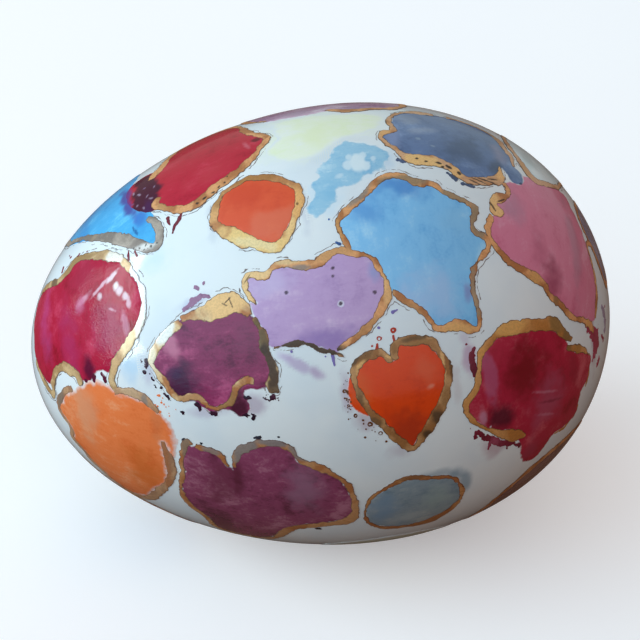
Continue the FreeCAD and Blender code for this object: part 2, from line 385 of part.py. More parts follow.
         (11, -5), (11.4, -8.6), (10.4, -11.6), (7, -12.4), (3.4, -13.4), (0, -13.8)],
        []),
    "turquoise_wash": (
        [(5.2, 5.2), (7, 3.8), (9.2, 4.6), (11, 6.2), (11.8, 8.6), (11.6, 11.4), (10.8, 13.8),
         (9.4, 15.4), (8.2, 17.8), (6.6, 19), (5, 19.6), (4.7, 22), (4.4, 24), (3.4, 25.2),
         (2, 26.2), (1.1, 24.6), (1.6, 21.6), (1.8, 18), (2.2, 16), (2, 13.8), (3, 11.6),
         (4.2, 9)],
        []),
    "violet_end": (
        [(36.5, -14), (36.4, -2), (36.6, 8), (37.3, 16), (38.1, 24), (38.7, 34), (39.2, 44),
         (39.6, 34), (39.7, 0), (39.6, -30), (39.1, -52), (38.1, -52), (37.2, -38),
         (36.8, -26)],
        [[(36.5, -14, .5), (36.4, -2, .5), (36.6, 8, .5), (37.3, 16, .5), (38.1, 24, .5),
          (38.7, 34, .6), (39.2, 44, .7), (39.6, 34, .6), (39.7, 0, .6), (39.6, -30, .6),
          (39.1, -52, .7), (38.1, -52, .8), (37.2, -38, .7), (36.8, -26, .6),
          (36.5, -14, .5)]]),
    "lemon_under": (
        [(-1, 134), (4, 130.6), (9, 131), (13.2, 135), (14.4, 143), (12, 150), (6, 152.6),
         (0, 150), (-3, 142)],
        []),
}

# Fields out of sight from the front, each ringed by one closed gold line: (x, a, line width)
RINGED = {
    "ruby_back": [
        (-35.5, -56, .9), (-32, -50, 1), (-28.5, -52, .9), (-25.5, -57, .8), (-23.5, -64, 1.1),
        (-22.8, -74, 1.3), (-24, -84, .9), (-27, -91, .8), (-30.5, -94, 1), (-33.5, -89, .9),
        (-35.6, -80, .8), (-36.6, -68, .7)],
    "amber_back": [
        (-19.8, -38, .8), (-16.5, -34.5, 1), (-12.5, -36, .9), (-9.3, -39.5, .8), (-8, -46, 1),
        (-8.8, -53, 1.4), (-11.6, -59, 1.1), (-15, -61.5, .8), (-18.6, -58, .9),
        (-20.9, -51, .8), (-21, -44, .7)],
    "azure_back": [
        (-4.8, -52, .8), (-1, -50, .9), (3.4, -51.5, 1), (7.8, -50, .8), (11, -54, .9),
        (12.3, -62, 1.2), (10.4, -70, .9), (11.2, -78, .8), (7.6, -84, 1), (2.8, -82.5, 1.3),
        (-1.6, -85, 1), (-4.8, -79, .8), (-4, -70, .7), (-6, -61, .8)],
    "crimson_back": [
        (16.8, -50, .9), (20.4, -44, .8), (25, -45, 1), (29, -49, .9), (31.4, -56, .8),
        (31, -66, 1.1), (28.6, -75, .9), (25, -82, 1.3), (20.6, -84, 1), (16.8, -78, .8),
        (15.2, -69, .9), (17, -60, .7)],
    "lilac_back": [
        (-18.6, -70, .8), (-14.5, -67.5, .9), (-10, -70, .8), (-7.6, -77, 1), (-8.6, -86, .9),
        (-7, -95, 1.2), (-9.8, -104, 1), (-14.4, -108, .9), (-18.6, -103, .8),
        (-19.6, -93, 1.1), (-18, -84, .8), (-19.9, -77, .7)],
    "orange_back": [
        (-2.6, -96, .8), (1.2, -93, .9), (4.8, -96.5, .7), (8.4, -93.5, .9), (11.6, -98, 1),
        (12, -107, .8), (9, -116, 1.1), (4.8, -125, 1.2), (.6, -119, .9), (-2.8, -111, .8),
        (-4, -103, .9)],
    "teal_back": [
        (16, -95, .8), (20.6, -91.5, .9), (25.6, -92.5, 1), (29.6, -98, .8), (30.6, -107, .9),
        (28.2, -117, 1.1), (24, -125, 1.3), (19, -127.5, .9), (15.4, -120, .8),
        (15.8, -110, .7), (14.4, -102, .8)],
    "sky_back": [
        (-33.4, -110, .8), (-29.6, -104, .9), (-25.2, -105, .8), (-22, -112, 1),
        (-20.8, -122, 1.1), (-22.8, -132, .9), (-26.2, -141, 1.2), (-30.4, -146, .8),
        (-33.6, -138, .9), (-35.4, -126, .7)],
    "plum_back": [
        (-18.4, -120, .8), (-13.6, -116, .9), (-8, -117.5, 1), (-3.6, -123, .8),
        (-1.6, -131, .9), (-4, -139, 1.2), (-9.6, -143, 1), (-15, -141, .8), (-18.6, -136, .9),
        (-20, -128, .7)],
    "plum_under": [
        (15, -146, .8), (20, -140, .9), (26, -138, 1), (31, -143, .8), (33.6, -153, .9),
        (33, -165, 1.1), (29.6, -175, .9), (24, -180, 1.2), (18.8, -177, .8), (15.6, -168, .9),
        (14.2, -157, .7)],
    "rose_under": [
        (20.6, 128, .8), (24, 121.5, .9), (27.6, 118.8, 1.2), (31.2, 122, .9), (33.6, 130, .8),
        (33.8, 142, .9), (31, 153, 1.1), (26, 159, 1.2), (20.8, 157, .9), (17.4, 149, .8),
        (17.6, 138, .7)],
    "azure_under": [
        (-34.2, 140, .8), (-30, 134, .9), (-25.2, 133, 1), (-21.2, 139, .8), (-19.6, 149, .9),
        (-20.2, 160, 1.1), (-23.4, 170, 1.2), (-28, 176, .9), (-32.4, 171, .8),
        (-35.2, 160, .9), (-36, 149, .7)],
}
for name, ring in RINGED.items():
    FIELDS[name] = ([point[:2] for point in ring], [ring + ring[:1]])

# Gold lines that run into one another are one film, so they share a node.
SHARED_GOLD = {"lilac": "lilac_sky", "sky": "lilac_sky", "slate": "slate_seafoam",
               "seafoam": "slate_seafoam", "ruby_back": "back_tip", "sky_back": "back_tip"}


# ---- how the egg rests: tilted, lifted so the foot is the floor, centred over its outline
def meridian(x, side):
    t = radians(REST_TILT)
    z = side * girth(x)
    return x * cos(t) - z * sin(t), x * sin(t) + z * cos(t)


rim = [meridian(EGG_LENGTH / 2 * cos(pi * i / 2000), side)
       for i in range(2001) for side in (1, -1)]
lowest = min(rim, key=lambda p: p[1])
centre_x = (min(p[0] for p in rim) + max(p[0] for p in rim)) / 2
REST_SHIFT = FreeCAD.Vector(-centre_x, 0, -lowest[1] - FOOT_DEPTH)
FOOT_X = lowest[0] - centre_x


def settle(shape):
    shape = shape.copy()
    shape.rotate(ORIGIN, FreeCAD.Vector(0, 1, 0), -REST_TILT)
    shape.translate(REST_SHIFT)
    return shape


def save(node, shape):
    shape.exportStep("parts/%s.step" % node)


# ---- porcelain body and its glaze
def slab_below(height):
    return Part.makeBox(120, 120, 60, FreeCAD.Vector(-60, -60, height - 60))


def hollow_egg(under, over, cutters):
    """Closed shell between two layers; only its lower half is cut."""
    upper = settle(layer(under, over, 0, 90, True))
    lower = settle(layer(under, over, 180, 90, True))
    for cutter in cutters:
        lower = lower.cut(cutter)
    return upper.fuse(lower)


def build_body():
    vent = Part.makeCylinder(VENT_DIAMETER / 2, 12, FreeCAD.Vector(FOOT_X, 0, -3), UP)
    return hollow_egg(-GLAZE - WALL, -GLAZE, [slab_below(0), vent])


def build_glaze():
    return hollow_egg(-GLAZE, 0, [slab_below(BARE_RIM)])


# ---- coats
def near(one, other):
    return one.BoundBox.intersect(other.BoundBox)


def coat(thickness, facet, cutter, others):
    """The part of a coat inside one outline, less the outlines already painted."""
    piece = layer(0, thickness, facet.angle, SKIN_REACH).common(cutter)
    for other in others:
        if near(piece, other):
            piece = piece.cut(other)
    return [solid for solid in piece.Solids if solid.Volume > SMALLEST_SPOT]


save("porcelain_body", build_body())
save("glaze_coat", build_glaze())

gold_cutters, gold_nodes = [], {}
for name, (outline, lines) in FIELDS.items():
    for line in lines:
        facet, cutter = brush_line(line)
        node = "gold_" + SHARED_GOLD.get(name, name)
        gold_nodes.setdefault(node, []).extend(coat(GOLD, facet, cutter, gold_cutters))
        gold_cutters.append(cutter)
for node, solids in gold_nodes.items():
    save(node, settle(Part.makeCompound(solids)))

enamel_cutters = []
for name, (outline, lines) in FIELDS.items():
    facet, cutter = blob(outline)
    solids = coat(ENAMEL, facet, cutter, gold_cutters + enamel_cutters)
    enamel_cutters.append(cutter)
    save("enamel_" + name, settle(Part.makeCompound(solids)))
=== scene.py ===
from collections import namedtuple
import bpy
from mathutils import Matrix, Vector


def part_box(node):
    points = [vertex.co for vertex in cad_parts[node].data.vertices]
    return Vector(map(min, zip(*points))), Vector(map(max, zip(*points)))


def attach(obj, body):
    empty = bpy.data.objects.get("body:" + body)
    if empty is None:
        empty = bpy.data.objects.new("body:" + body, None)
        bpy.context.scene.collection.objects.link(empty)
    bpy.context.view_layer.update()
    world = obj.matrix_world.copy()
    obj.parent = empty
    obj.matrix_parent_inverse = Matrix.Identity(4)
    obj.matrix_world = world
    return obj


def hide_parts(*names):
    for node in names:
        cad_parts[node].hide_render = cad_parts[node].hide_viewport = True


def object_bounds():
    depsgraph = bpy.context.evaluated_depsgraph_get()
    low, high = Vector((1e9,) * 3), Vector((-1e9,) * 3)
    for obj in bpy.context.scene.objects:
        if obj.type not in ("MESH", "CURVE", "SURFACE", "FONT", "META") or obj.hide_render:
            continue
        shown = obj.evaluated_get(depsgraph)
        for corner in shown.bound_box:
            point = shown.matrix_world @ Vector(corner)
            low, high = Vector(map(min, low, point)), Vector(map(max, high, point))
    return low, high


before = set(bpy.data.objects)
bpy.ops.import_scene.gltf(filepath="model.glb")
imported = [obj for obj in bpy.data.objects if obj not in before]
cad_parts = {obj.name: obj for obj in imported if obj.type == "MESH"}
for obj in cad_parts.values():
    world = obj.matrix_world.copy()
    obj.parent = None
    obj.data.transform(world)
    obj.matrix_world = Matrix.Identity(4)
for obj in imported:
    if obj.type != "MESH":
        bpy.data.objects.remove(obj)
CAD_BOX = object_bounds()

from copy import copy
from math import atan2, cos, degrees, pi, radians, sin

import bmesh
import bpy
import numpy as np
from mathutils import Quaternion, Vector

# A hollow porcelain egg, painted with enamel fields inside gold lustre lines.
# Lengths here are millimetres until a mesh is made. Places on the egg are (x, a): x runs along
# the egg's own axis, blunt end positive; a is degrees down from the crown, positive to the front.

# ---- the shell form
EGG_LENGTH = 80.0
EGG_WIDTH = 60.6
GIRTH_SHIFT = 4.0        # how far the widest station sits toward the blunt end
REST_TILT = radians(6)
GLAZE = 0.28
BARE_RIM = 0.35          # height above the foot at which the glaze stops
SLOPE_STEP = 0.01        # half the reach over which a slope is taken

# ---- how the coats are drawn
ENAMEL = 0.15            # thickness of the CAD enamel, and of the CAD gold
GOLD = 0.22
FRONT_GRID = 0.13        # mesh spacing of paint seen from the front, and of what is behind
BACK_GRID = 0.2
GOLD_GRID = 0.09
GOLD_BACK_GRID = 0.12
MARK_GRID = 0.08
STAIN_GRID = 0.3
STAIN_REACH = 1.2        # how far the grid of a stain goes, in the size of its largest touch
STAIN_EDGE = 0.01        # the cover at which a stain ends
MARGIN = 1.0             # bare grid round a coat
EDGE_REACH = 1.6         # how far in from its rim a coat knows the distance to it
UNDER = 0.06             # how far a coat's underside is sunk in the glaze
ENAMEL_HIGH = 0.05       # how high each kind of coat stands
WASH_HIGH = 0.008
GOLD_HIGH = 0.06
MARK_HIGH = 0.03
BURNT_HIGH = 0.012
STAIN_HIGH = 0.004
TUCK = 0.3               # how far enamel runs on under the gold line beside it
GOLD_SWELL = 0.08        # how far gold runs over its CAD outline
HAIR = 0.1               # width of a burnt hair line, and how far off the gold it runs
HAIR_GAP = 0.36


def girth(x):
    top = np.maximum(EGG_LENGTH ** 2 - 4 * x * x, 0)
    return EGG_WIDTH / 2 * np.sqrt(top / (EGG_LENGTH ** 2 - 8 * GIRTH_SHIFT * x + 4 * GIRTH_SHIFT ** 2))


def off_tips(x):
    """x kept just clear of the tips, where the outline turns straight up."""
    return np.clip(x, -EGG_LENGTH / 2 + 2 * SLOPE_STEP, EGG_LENGTH / 2 - 2 * SLOPE_STEP)


def slope(x):
    return (girth(x + SLOPE_STEP) - girth(x - SLOPE_STEP)) / (2 * SLOPE_STEP)


def tilt(points, angle=REST_TILT):
    x, y, z = points[..., 0], points[..., 1], points[..., 2]
    return np.stack([x * cos(angle) - z * sin(angle), y, x * sin(angle) + z * cos(angle)], -1)


def resting_shift():
    """From the tilted egg about its own middle to where the glaze lies in the frame."""
    stations = 4001
    x = EGG_LENGTH / 2 * np.cos(np.linspace(0, pi, stations))
    outline = tilt(np.stack([x, 0 * x, girth(x)], -1))
    outline = np.concatenate([outline, tilt(np.stack([x, 0 * x, -girth(x)], -1))])
    low, high = (np.array(corner) * 1000 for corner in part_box("glaze_coat"))
    return np.array([(low[0] + high[0]) / 2 - (outline[:, 0].min() + outline[:, 0].max()) / 2,
                     0, high[2] - outline[:, 2].max()])


SHIFT = resting_shift()


def to_frame(points):
    return (tilt(points) + SHIFT) / 1000


def to_egg(points):
    return tilt(np.asarray(points, float) * 1000 - SHIFT, -REST_TILT)


def shell(x, a):
    r, t = girth(np.asarray(x, float)), np.radians(a)
    return np.stack([x + 0 * t, -r * np.sin(t), r * np.cos(t)], -1)


def normals(points):
    x = off_tips(points[:, 0])
    around = np.hypot(points[:, 1], points[:, 2])
    n = np.stack([-slope(x), points[:, 1] / around, points[:, 2] / around], -1)
    return n / np.linalg.norm(n, axis=1)[:, None]


def clearance(points):
    """How far points stand off the shell, positive outside."""
    x = off_tips(points[:, 0])
    return (np.hypot(points[:, 1], points[:, 2]) - girth(x)) / np.hypot(1, slope(x))


class Facet:
    """The plane that touches the shell at (x, a): paint is drawn on it in (u, v) mm."""

    ROUNDS = 24          # of walking down from the plane to the shell
    STRIDE = 2           # mm, the most that one round walks

    def __init__(self, x, a):
        self.centre = shell(x, a)
        self.out = normals(self.centre[None])[0]
        self.north = np.array([0, cos(radians(a)), sin(radians(a))])
        self.east = np.cross(self.north, self.out)

    def flatten(self, points):
        step = points - self.centre
        return np.stack([step @ self.east, step @ self.north], -1)

    def of(self, x, a):
        return self.flatten(shell(np.asarray(x, float), np.asarray(a, float)))

    def lift(self, u, v, height):
        """Points `height` above the shell over (u, v)."""
        start = self.centre + np.outer(u, self.east) + np.outer(v, self.north)
        depth = np.zeros(len(u))
        for _ in range(self.ROUNDS):
            gap = clearance(start - self.out * depth[:, None])
            depth += np.clip(gap, -self.STRIDE, self.STRIDE)
        on_shell = start - self.out * depth[:, None]
        return on_shell + normals(on_shell) * np.asarray(height)[..., None]


# ---- noise, all of it seeded
def grain(u, v, size, seed):
    """Smooth random values from -1 to 1 with features of about `size` mm."""
    cells = 61
    table = np.random.default_rng(seed).uniform(-1, 1, (cells, cells))
    i, j = np.floor(u / size).astype(int), np.floor(v / size).astype(int)
    s, t = u / size - i, v / size - j
    s, t = s * s * (3 - 2 * s), t * t * (3 - 2 * t)
    pick = lambda p, q: table[p % cells, q % cells]
    low = pick(i, j) * (1 - s) + pick(i + 1, j) * s
    high = pick(i, j + 1) * (1 - s) + pick(i + 1, j + 1) * s
    return low * (1 - t) + high * t


def rough(u, v, size, seed, octaves=3):
    """Layers of grain, each half the size of the last and fainter."""
    total = 0
    for k in range(octaves):
        total = total + grain(u, v, size / 2 ** k, seed + k) / 1.8 ** k
    return total


def smooth(value, start, end):
    """0 up to start, 1 from end on, and an even S between."""
    t = np.clip((value - start) / (end - start), 0, 1)
    return t * t * (3 - 2 * t)


# ---- outlines taken from the CAD coats
def open_edges(tris):
    """The edges that only one triangle uses."""
    edges = np.concatenate([tris[:, [0, 1]], tris[:, [1, 2]], tris[:, [2, 0]]])
    key = np.sort(edges, axis=1) @ np.array([tris.max() + 1, 1])
    _, first, count = np.unique(key, return_index=True, return_counts=True)
    return edges[first[count == 1]]


def top_rim(node, facet, thickness):
    """Edges round the top of a CAD coat, as pairs of (u, v)."""
    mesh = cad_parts[node].data
    co = np.empty(len(mesh.vertices) * 3)
    mesh.vertices.foreach_get("co", co)
    points, index = np.unique(np.round(to_egg(co.reshape(-1, 3)), 3), axis=0, return_inverse=True)
    mesh.calc_loop_triangles()
    tris = np.empty(len(mesh.loop_triangles) * 3, int)
    mesh.loop_triangles.foreach_get("vertices", tris)
    tris = index.reshape(-1)[tris].reshape(-1, 3)
    tris = tris[(clearance(points)[tris] > thickness / 2).all(1)]
    return facet.flatten(points)[np.sort(open_edges(tris), axis=1)]


class Sheet:
    """A grid over a stretch of facet, holding how far inside the paint each point is."""

    def __init__(self, low, high, step):
        self.step = step
        self.low = np.asarray(low, float)
        counts = np.ceil((np.asarray(high) - self.low) / step).astype(int) + 1
        self.u = self.low[0] + step * np.arange(counts[0])[:, None] + np.zeros(counts)
        self.v = self.low[1] + step * np.arange(counts[1])[None, :] + np.zeros(counts)
        self.inside = np.full(counts, -EDGE_REACH)

    @classmethod
    def within(cls, segments, step):
        """Signed distance to a closed outline, clipped at EDGE_REACH."""
        corners = segments.reshape(-1, 2)
        sheet = cls(corners.min(0) - MARGIN, corners.max(0) + MARGIN, step)
        gap = np.full(sheet.u.shape, EDGE_REACH)
        filled = np.zeros(sheet.u.shape, bool)
        for a, b in segments:
            near = sheet.around(a, b)
            gap[near] = np.minimum(gap[near], sheet.along(a, b, near)[1])
            if a[1] != b[1]:
                sheet.flip_beyond(a, b, filled)
        for row in np.nonzero(filled[-1])[0]:
            filled[:, row] = filled[:, row - 1]
        sheet.inside = np.where(filled, gap, -gap)
        return sheet

    def around(self, a, b):
        """The part of the grid that lies within EDGE_REACH of the line from a to b."""
        low = np.floor((np.minimum(a, b) - EDGE_REACH - self.low) / self.step).astype(int)
        high = np.ceil((np.maximum(a, b) + EDGE_REACH - self.low) / self.step).astype(int)
        return slice(max(low[0], 0), high[0]), slice(max(low[1], 0), high[1])

    def along(self, a, b, part=...):
        """How far along the line from a to b each point is, from 0 to 1, and how far off it."""
        du, dv = self.u[part] - a[0], self.v[part] - a[1]
        run = b - a
        t = np.clip((du * run[0] + dv * run[1]) / max(run @ run, 1e-12), 0, 1)
        return t, np.hypot(du - t * run[0], dv - t * run[1])

    def flip_beyond(self, a, b, filled):
        """Turn over every point that lies beyond the line from a to b along u."""
        rows = self.v[0]
        hit = np.nonzero((rows >= min(a[1], b[1])) & (rows < max(a[1], b[1])))[0]
        cross = a[0] + (rows[hit] - a[1]) / (b[1] - a[1]) * (b[0] - a[0])
        for column, row in zip(np.ceil((cross - self.low[0]) / self.step).astype(int), hit):
            filled[max(column, 0):, row] ^= True

    def grid_triangles(self):
        rows, columns = self.u.shape
        at = np.arange(rows * columns).reshape(rows, columns)
        a, b, c, d = at[:-1, :-1], at[1:, :-1], at[1:, 1:], at[:-1, 1:]
        return np.concatenate([np.stack([a, b, c], -1).reshape(-1, 3),
                               np.stack([a, c, d], -1).reshape(-1, 3)])

    def triangles(self):
        """The part with inside > 0, cut cleanly along its rim: u, v, inside, triangles."""
        f = self.inside.ravel().copy()
        nothing = 1e-4
        f[np.abs(f) < nothing] = -nothing
        tris = self.grid_triangles()
        count = (f[tris] > 0).sum(1)
        cut = (count == 1) | (count == 2)
        whole, tris, count = tris[count == 3], tris[cut], count[cut]
        # the corner that is alone on its side of the rim comes first
        odd = np.where(count == 1, (f[tris] > 0).argmax(1), (f[tris] <= 0).argmax(1))
        tris = np.stack([tris[np.arange(len(tris)), (odd + k) % 3] for k in range(3)], -1)
        size = len(f)
        pair = lambda p, q: np.minimum(p, q) * size + np.maximum(p, q)
        ab, ac = pair(tris[:, 0], tris[:, 1]), pair(tris[:, 0], tris[:, 2])
        keys, index = np.unique(np.concatenate([ab, ac]), return_inverse=True)
        index = index.reshape(-1) + size
        ab, ac = index[:len(tris)], index[len(tris):]
        one, two = count == 1, count == 2
        tris = np.concatenate([
            whole, np.stack([tris[one, 0], ab[one], ac[one]], -1),
            np.stack([ab[two], tris[two, 1], tris[two, 2]], -1),
            np.stack([ab[two], tris[two, 2], ac[two]], -1)])
        p, q = keys // size, keys % size
        t = f[p] / (f[p] - f[q])
        mix = lambda grid: np.concatenate([grid, grid[p] * (1 - t) + grid[q] * t])
        used, tris = np.unique(tris, return_inverse=True)
        level = np.concatenate([f, 0 * t])
        u, v = mix(self.u.ravel()), mix(self.v.ravel())
        return u[used], v[used], level[used], tris.reshape(-1, 3)


# ---- meshes
def new_piece(name, points, triangles, material):
    mesh = bpy.data.meshes.new(name)
    mesh.vertices.add(len(points))
    mesh.vertices.foreach_set("co", to_frame(points).ravel())
    mesh.loops.add(triangles.size)
    mesh.loops.foreach_set("vertex_index", triangles.ravel())
    mesh.polygons.add(len(triangles))
    mesh.polygons.foreach_set("loop_start", np.arange(len(triangles)) * 3)
    mesh.update(calc_edges=True)
    mesh.polygons.foreach_set("use_smooth", np.full(len(triangles), True))
    mesh.materials.append(material)
    piece = bpy.data.objects.new(name, mesh)
    bpy.context.scene.collection.objects.link(piece)
    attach(piece, "root")
    return piece


def note(piece, name, values, kind):
    """Keep a value for each vertex under a name that the materials read."""
    data = piece.data.attributes.new(name, kind, "POINT").data
    key = {"FLOAT": "value", "FLOAT_VECTOR": "vector", "FLOAT_COLOR": "color"}[kind]
    data.foreach_set(key, np.asarray(values, np.float32).ravel())


def crease(piece, pairs):
    """Mark the edges between these pairs of vertices as sharp."""
    mesh = piece.data
    ends = np.empty(len(mesh.edges) * 2, int)
    mesh.edges.foreach_get("vertices", ends)
    size = np.array([len(mesh.vertices), 1])
    sharp = np.isin(np.sort(ends.reshape(-1, 2), axis=1) @ size, np.sort(pairs, axis=1) @ size)
    mesh.attributes.new("sharp_edge", "BOOLEAN", "EDGE").data.foreach_set("value", sharp)


def coat_piece(name, sheet, facet, profile, material, tint=None):
    """A closed, thin, soft-shouldered coat over the part of a sheet that is inside."""
    u, v, inside, tris = sheet.triangles()
    top = facet.lift(u, v, profile(u, v, inside))
    under = facet.lift(u, v, np.full(len(u), -UNDER))
    rim = open_edges(tris)
    n = len(u)
    wall = np.concatenate([np.stack([rim[:, 1], rim[:, 0], rim[:, 0] + n], -1),
                           np.stack([rim[:, 1], rim[:, 0] + n, rim[:, 1] + n], -1)])
    faces = np.concatenate([tris, tris[:, ::-1] + n, wall])
    piece = new_piece(name, np.concatenate([top, under]), faces, material)
    crease(piece, np.concatenate([rim, rim + n]))
    flat = np.stack([u, v, 0 * u], -1)
    note(piece, "flat", np.concatenate([flat, flat]), "FLOAT_VECTOR")
    note(piece, "edge", np.concatenate([inside, inside]), "FLOAT")
    if tint is None:
        tint = np.zeros((n, 4))
    note(piece, "tint", np.concatenate([tint, tint]), "FLOAT_COLOR")
    return piece


# ---- colours and node building
def linear(code):
    """A colour written as six hexadecimal digits, as linear red, green, blue and alpha 1."""
    parts = [int(code[i:i + 2], 16) / 255 for i in (0, 2, 4)]
    return (*(c / 12.92 if c < 0.04045 else ((c + 0.055) / 1.055) ** 2.4 for c in parts), 1.0)


class Nodes:
    """Short names for the nodes that the materials and the room share."""

    def __init__(self, owner):
        owner.use_nodes = True
        self.tree = owner.node_tree

    def add(self, kind, sockets=None, **settings):
        node = self.tree.nodes.new("ShaderNode" + kind)
        for key, value in settings.items():
            setattr(node, key, value)
        for key, value in (sockets or {}).items():
            self.put(node.inputs[key], value)
        return node

    def put(self, socket, value):
        if isinstance(value, bpy.types.NodeSocket):
            self.tree.links.new(value, socket)
        else:
            socket.default_value = value

    def attribute(self, name, part="Vector"):
        return self.add("Attribute", attribute_name=name).outputs[part]

    def place(self):
        return self.add("TexCoord").outputs["Object"]

    def camera_ray(self):
        return self.add("LightPath").outputs["Is Camera Ray"]

    def mapped(self, vector, scale, turn):
        return self.add("Mapping", {"Vector": vector, "Scale": scale,
                                    "Rotation": (0, 0, turn)}).outputs["Vector"]

    def noise(self, vector, scale, detail=4.0, roughness=0.55, twist=0.0):
        return self.add("TexNoise", {"Vector": vector, "Scale": scale, "Detail": detail,
                                     "Roughness": roughness, "Distortion": twist}).outputs["Fac"]

    def spread(self, value, low, high, out_low=0.0, out_high=1.0):
        """out_low while value is under low, out_high over high, and an even S between."""
        return self.add("MapRange", {"Value": value, "From Min": low, "From Max": high,
                                     "To Min": out_low, "To Max": out_high},
                        interpolation_type="SMOOTHSTEP").outputs["Result"]

    def math(self, operation, a, b=0.0):
        return self.add("Math", {0: a, 1: b}, operation=operation).outputs["Value"]

    def blend(self, amount, a, b, mode="MIX"):
        return self.add("Mix", {"Factor": amount, 6: a, 7: b}, data_type="RGBA",
                        blend_type=mode).outputs[2]

    def bump(self, height, distance):
        return self.add("Bump", {"Height": height, "Distance": distance,
                                 "Strength": 1.0}).outputs["Normal"]

    def tinted(self, colour):
        """A colour under the piece's listed touches."""
        tint = self.add("Attribute", attribute_name="tint")
        return self.blend(tint.outputs["Alpha"], colour, tint.outputs["Color"])


class Surface(Nodes):
    """A material made of nodes: `finish` joins them to its shader and gives the material."""

    def __init__(self, name):
        self.material = bpy.data.materials.new(name)
        super().__init__(self.material)

    def finish(self, colour, roughness, **sockets):
        shader = self.tree.nodes["Principled BSDF"]
        sockets = {"Base_Color": colour, "Roughness": roughness, **sockets}
        for key, value in sockets.items():
            self.put(shader.inputs[key.replace("_", " ")], value)
        return self.material


WHITE = linear("eef0ef")
WHITE_SHADOW = linear("e3e9ec")


def glaze_colour(nodes):
    """The white of the glazed ware, with the faint unevenness of a dipped glaze."""
    cloud = nodes.noise(nodes.place(), 90.0, 3.0)
    return nodes.blend(nodes.spread(cloud, 0.35, 0.7), WHITE, WHITE_SHADOW)


def glaze_finish(nodes, colour, gloss, dull):
    """A glassy, very slightly uneven surface."""
    fine = nodes.noise(nodes.place(), 900.0, 2.0)
    ripple = nodes.noise(nodes.place(), 260.0, 2.0)
    return nodes.finish(colour, nodes.spread(fine, 0.2, 0.8, gloss, dull),
                        Normal=nodes.bump(ripple, 0.00002), IOR=1.5)


def glaze_material():
    nodes = Surface("glazed_porcelain")
    return glaze_finish(nodes, glaze_colour(nodes), 0.05, 0.11)


def stain_material(name):
    """A faint stain in the glaze: the glaze's own white under the touches."""
    nodes = Surface("stain_" + name)
    return glaze_finish(nodes, nodes.tinted(glaze_colour(nodes)), 0.06, 0.14)


def bisque_material():
    nodes = Surface("bisque_porcelain")
    cloud = nodes.noise(nodes.place(), 300.0, 6.0)
    worn = nodes.blend(nodes.spread(cloud, 0.3, 0.75), linear("e6e2da"), linear("cfc6b8"))
    return nodes.finish(worn, nodes.spread(cloud, 0.2, 0.8, 0.6, 0.85),
                        Normal=nodes.bump(nodes.noise(nodes.place(), 2500.0, 3.0), 0.00003))


STREAK, CLOUD, FINE = 0.32, 0.52, 0.16    # how much each unevenness of enamel counts
FADE_START = 0.12                         # mm in from its rim, where bare enamel starts to cover


def enamel_material(name, deep, main, light, grain_mm=(3.0, 1.0), turn=0.0, contrast=1.0,
                    thin=0.25, bare=0.85, shine=0.08, relief=0.03, gloss=0.5):
    """Brushed enamel: streaks of three shades under the touches, bare of colour at its rim."""
    nodes = Surface("enamel_" + name)
    flat = nodes.attribute("flat")
    brush = nodes.mapped(flat, (1 / grain_mm[0], 1 / grain_mm[1], 1), radians(turn))
    streak = nodes.noise(brush, 1.0, 5.0, 0.62, 0.6)
    cloud = nodes.noise(flat, 0.16, 3.0, 0.5, 0.8)
    fine = nodes.noise(flat, 2.6, 3.0, 0.6)
    value = nodes.math("ADD", nodes.math("MULTIPLY", streak, STREAK),
                       nodes.math("ADD", nodes.math("MULTIPLY", cloud, CLOUD),
                                  nodes.math("MULTIPLY", fine, FINE)))
    half = 0.13 / contrast
    colour = nodes.blend(nodes.spread(value, 0.5 - half, 0.5), linear(deep), linear(main))
    colour = nodes.blend(nodes.spread(value, 0.5, 0.5 + half), colour, linear(light))
    colour = nodes.tinted(colour)
    if bare:
        ragged = nodes.math("ADD", nodes.attribute("edge", "Fac"), nodes.math("MULTIPLY", fine, 0.3))
        faded = nodes.spread(ragged, FADE_START, FADE_START + thin, bare, 0.0)
        colour = nodes.blend(faded, colour, glaze_colour(nodes))
    return nodes.finish(colour, nodes.spread(fine, 0.3, 0.7, shine, shine + 0.1),
                        Normal=nodes.bump(value, relief / 1000), IOR=1.52, Specular_IOR_Level=gloss)


def gold_material(name, dark="5c3a26", main="be7844", bright="f2ac70", pitted=0.35):
    """Lustre gold: a thin film of two shades under the touches, with a dark burnt rim."""
    nodes = Surface("gold_" + name)
    flat = nodes.attribute("flat")
    cloud = nodes.noise(flat, 0.28, 3.0, 0.5, 0.8)
    fine = nodes.noise(flat, 3.2, 3.0, 0.6)
    metal = nodes.tinted(nodes.blend(nodes.spread(cloud, 0.4, 0.6), linear(main), linear(bright)))
    metal = nodes.blend(1.0, metal, nodes.spread(fine, 0.38, 0.62, 0.86, 1.0), "MULTIPLY")
    pits = nodes.math("MULTIPLY", nodes.spread(fine, 0.63, 0.70), pitted)
    edge = nodes.math("ADD", nodes.attribute("edge", "Fac"), nodes.math("MULTIPLY", fine, 0.16))
    dull = nodes.math("MAXIMUM", pits, nodes.spread(edge, 0.10, 0.22, 0.9, 0.0))
    return nodes.finish(nodes.blend(dull, metal, linear(dark)),
                        nodes.spread(cloud, 0.3, 0.7, 0.42, 0.27),
                        Metallic=nodes.spread(dull, 0.0, 1.0, 0.12, 0.03),
                        Normal=nodes.bump(fine, 0.00001))


def burnt_material(name):
    """Lustre burnt to a dull brown-grey film."""
    nodes = Surface("burnt_" + name)
    fine = nodes.noise(nodes.attribute("flat"), 1.4, 3.0)
    film = nodes.blend(nodes.spread(fine, 0.35, 0.65), linear("6a5850"), linear("9a8e8a"))
    return nodes.finish(film, nodes.spread(fine, 0.3, 0.7, 0.3, 0.5))


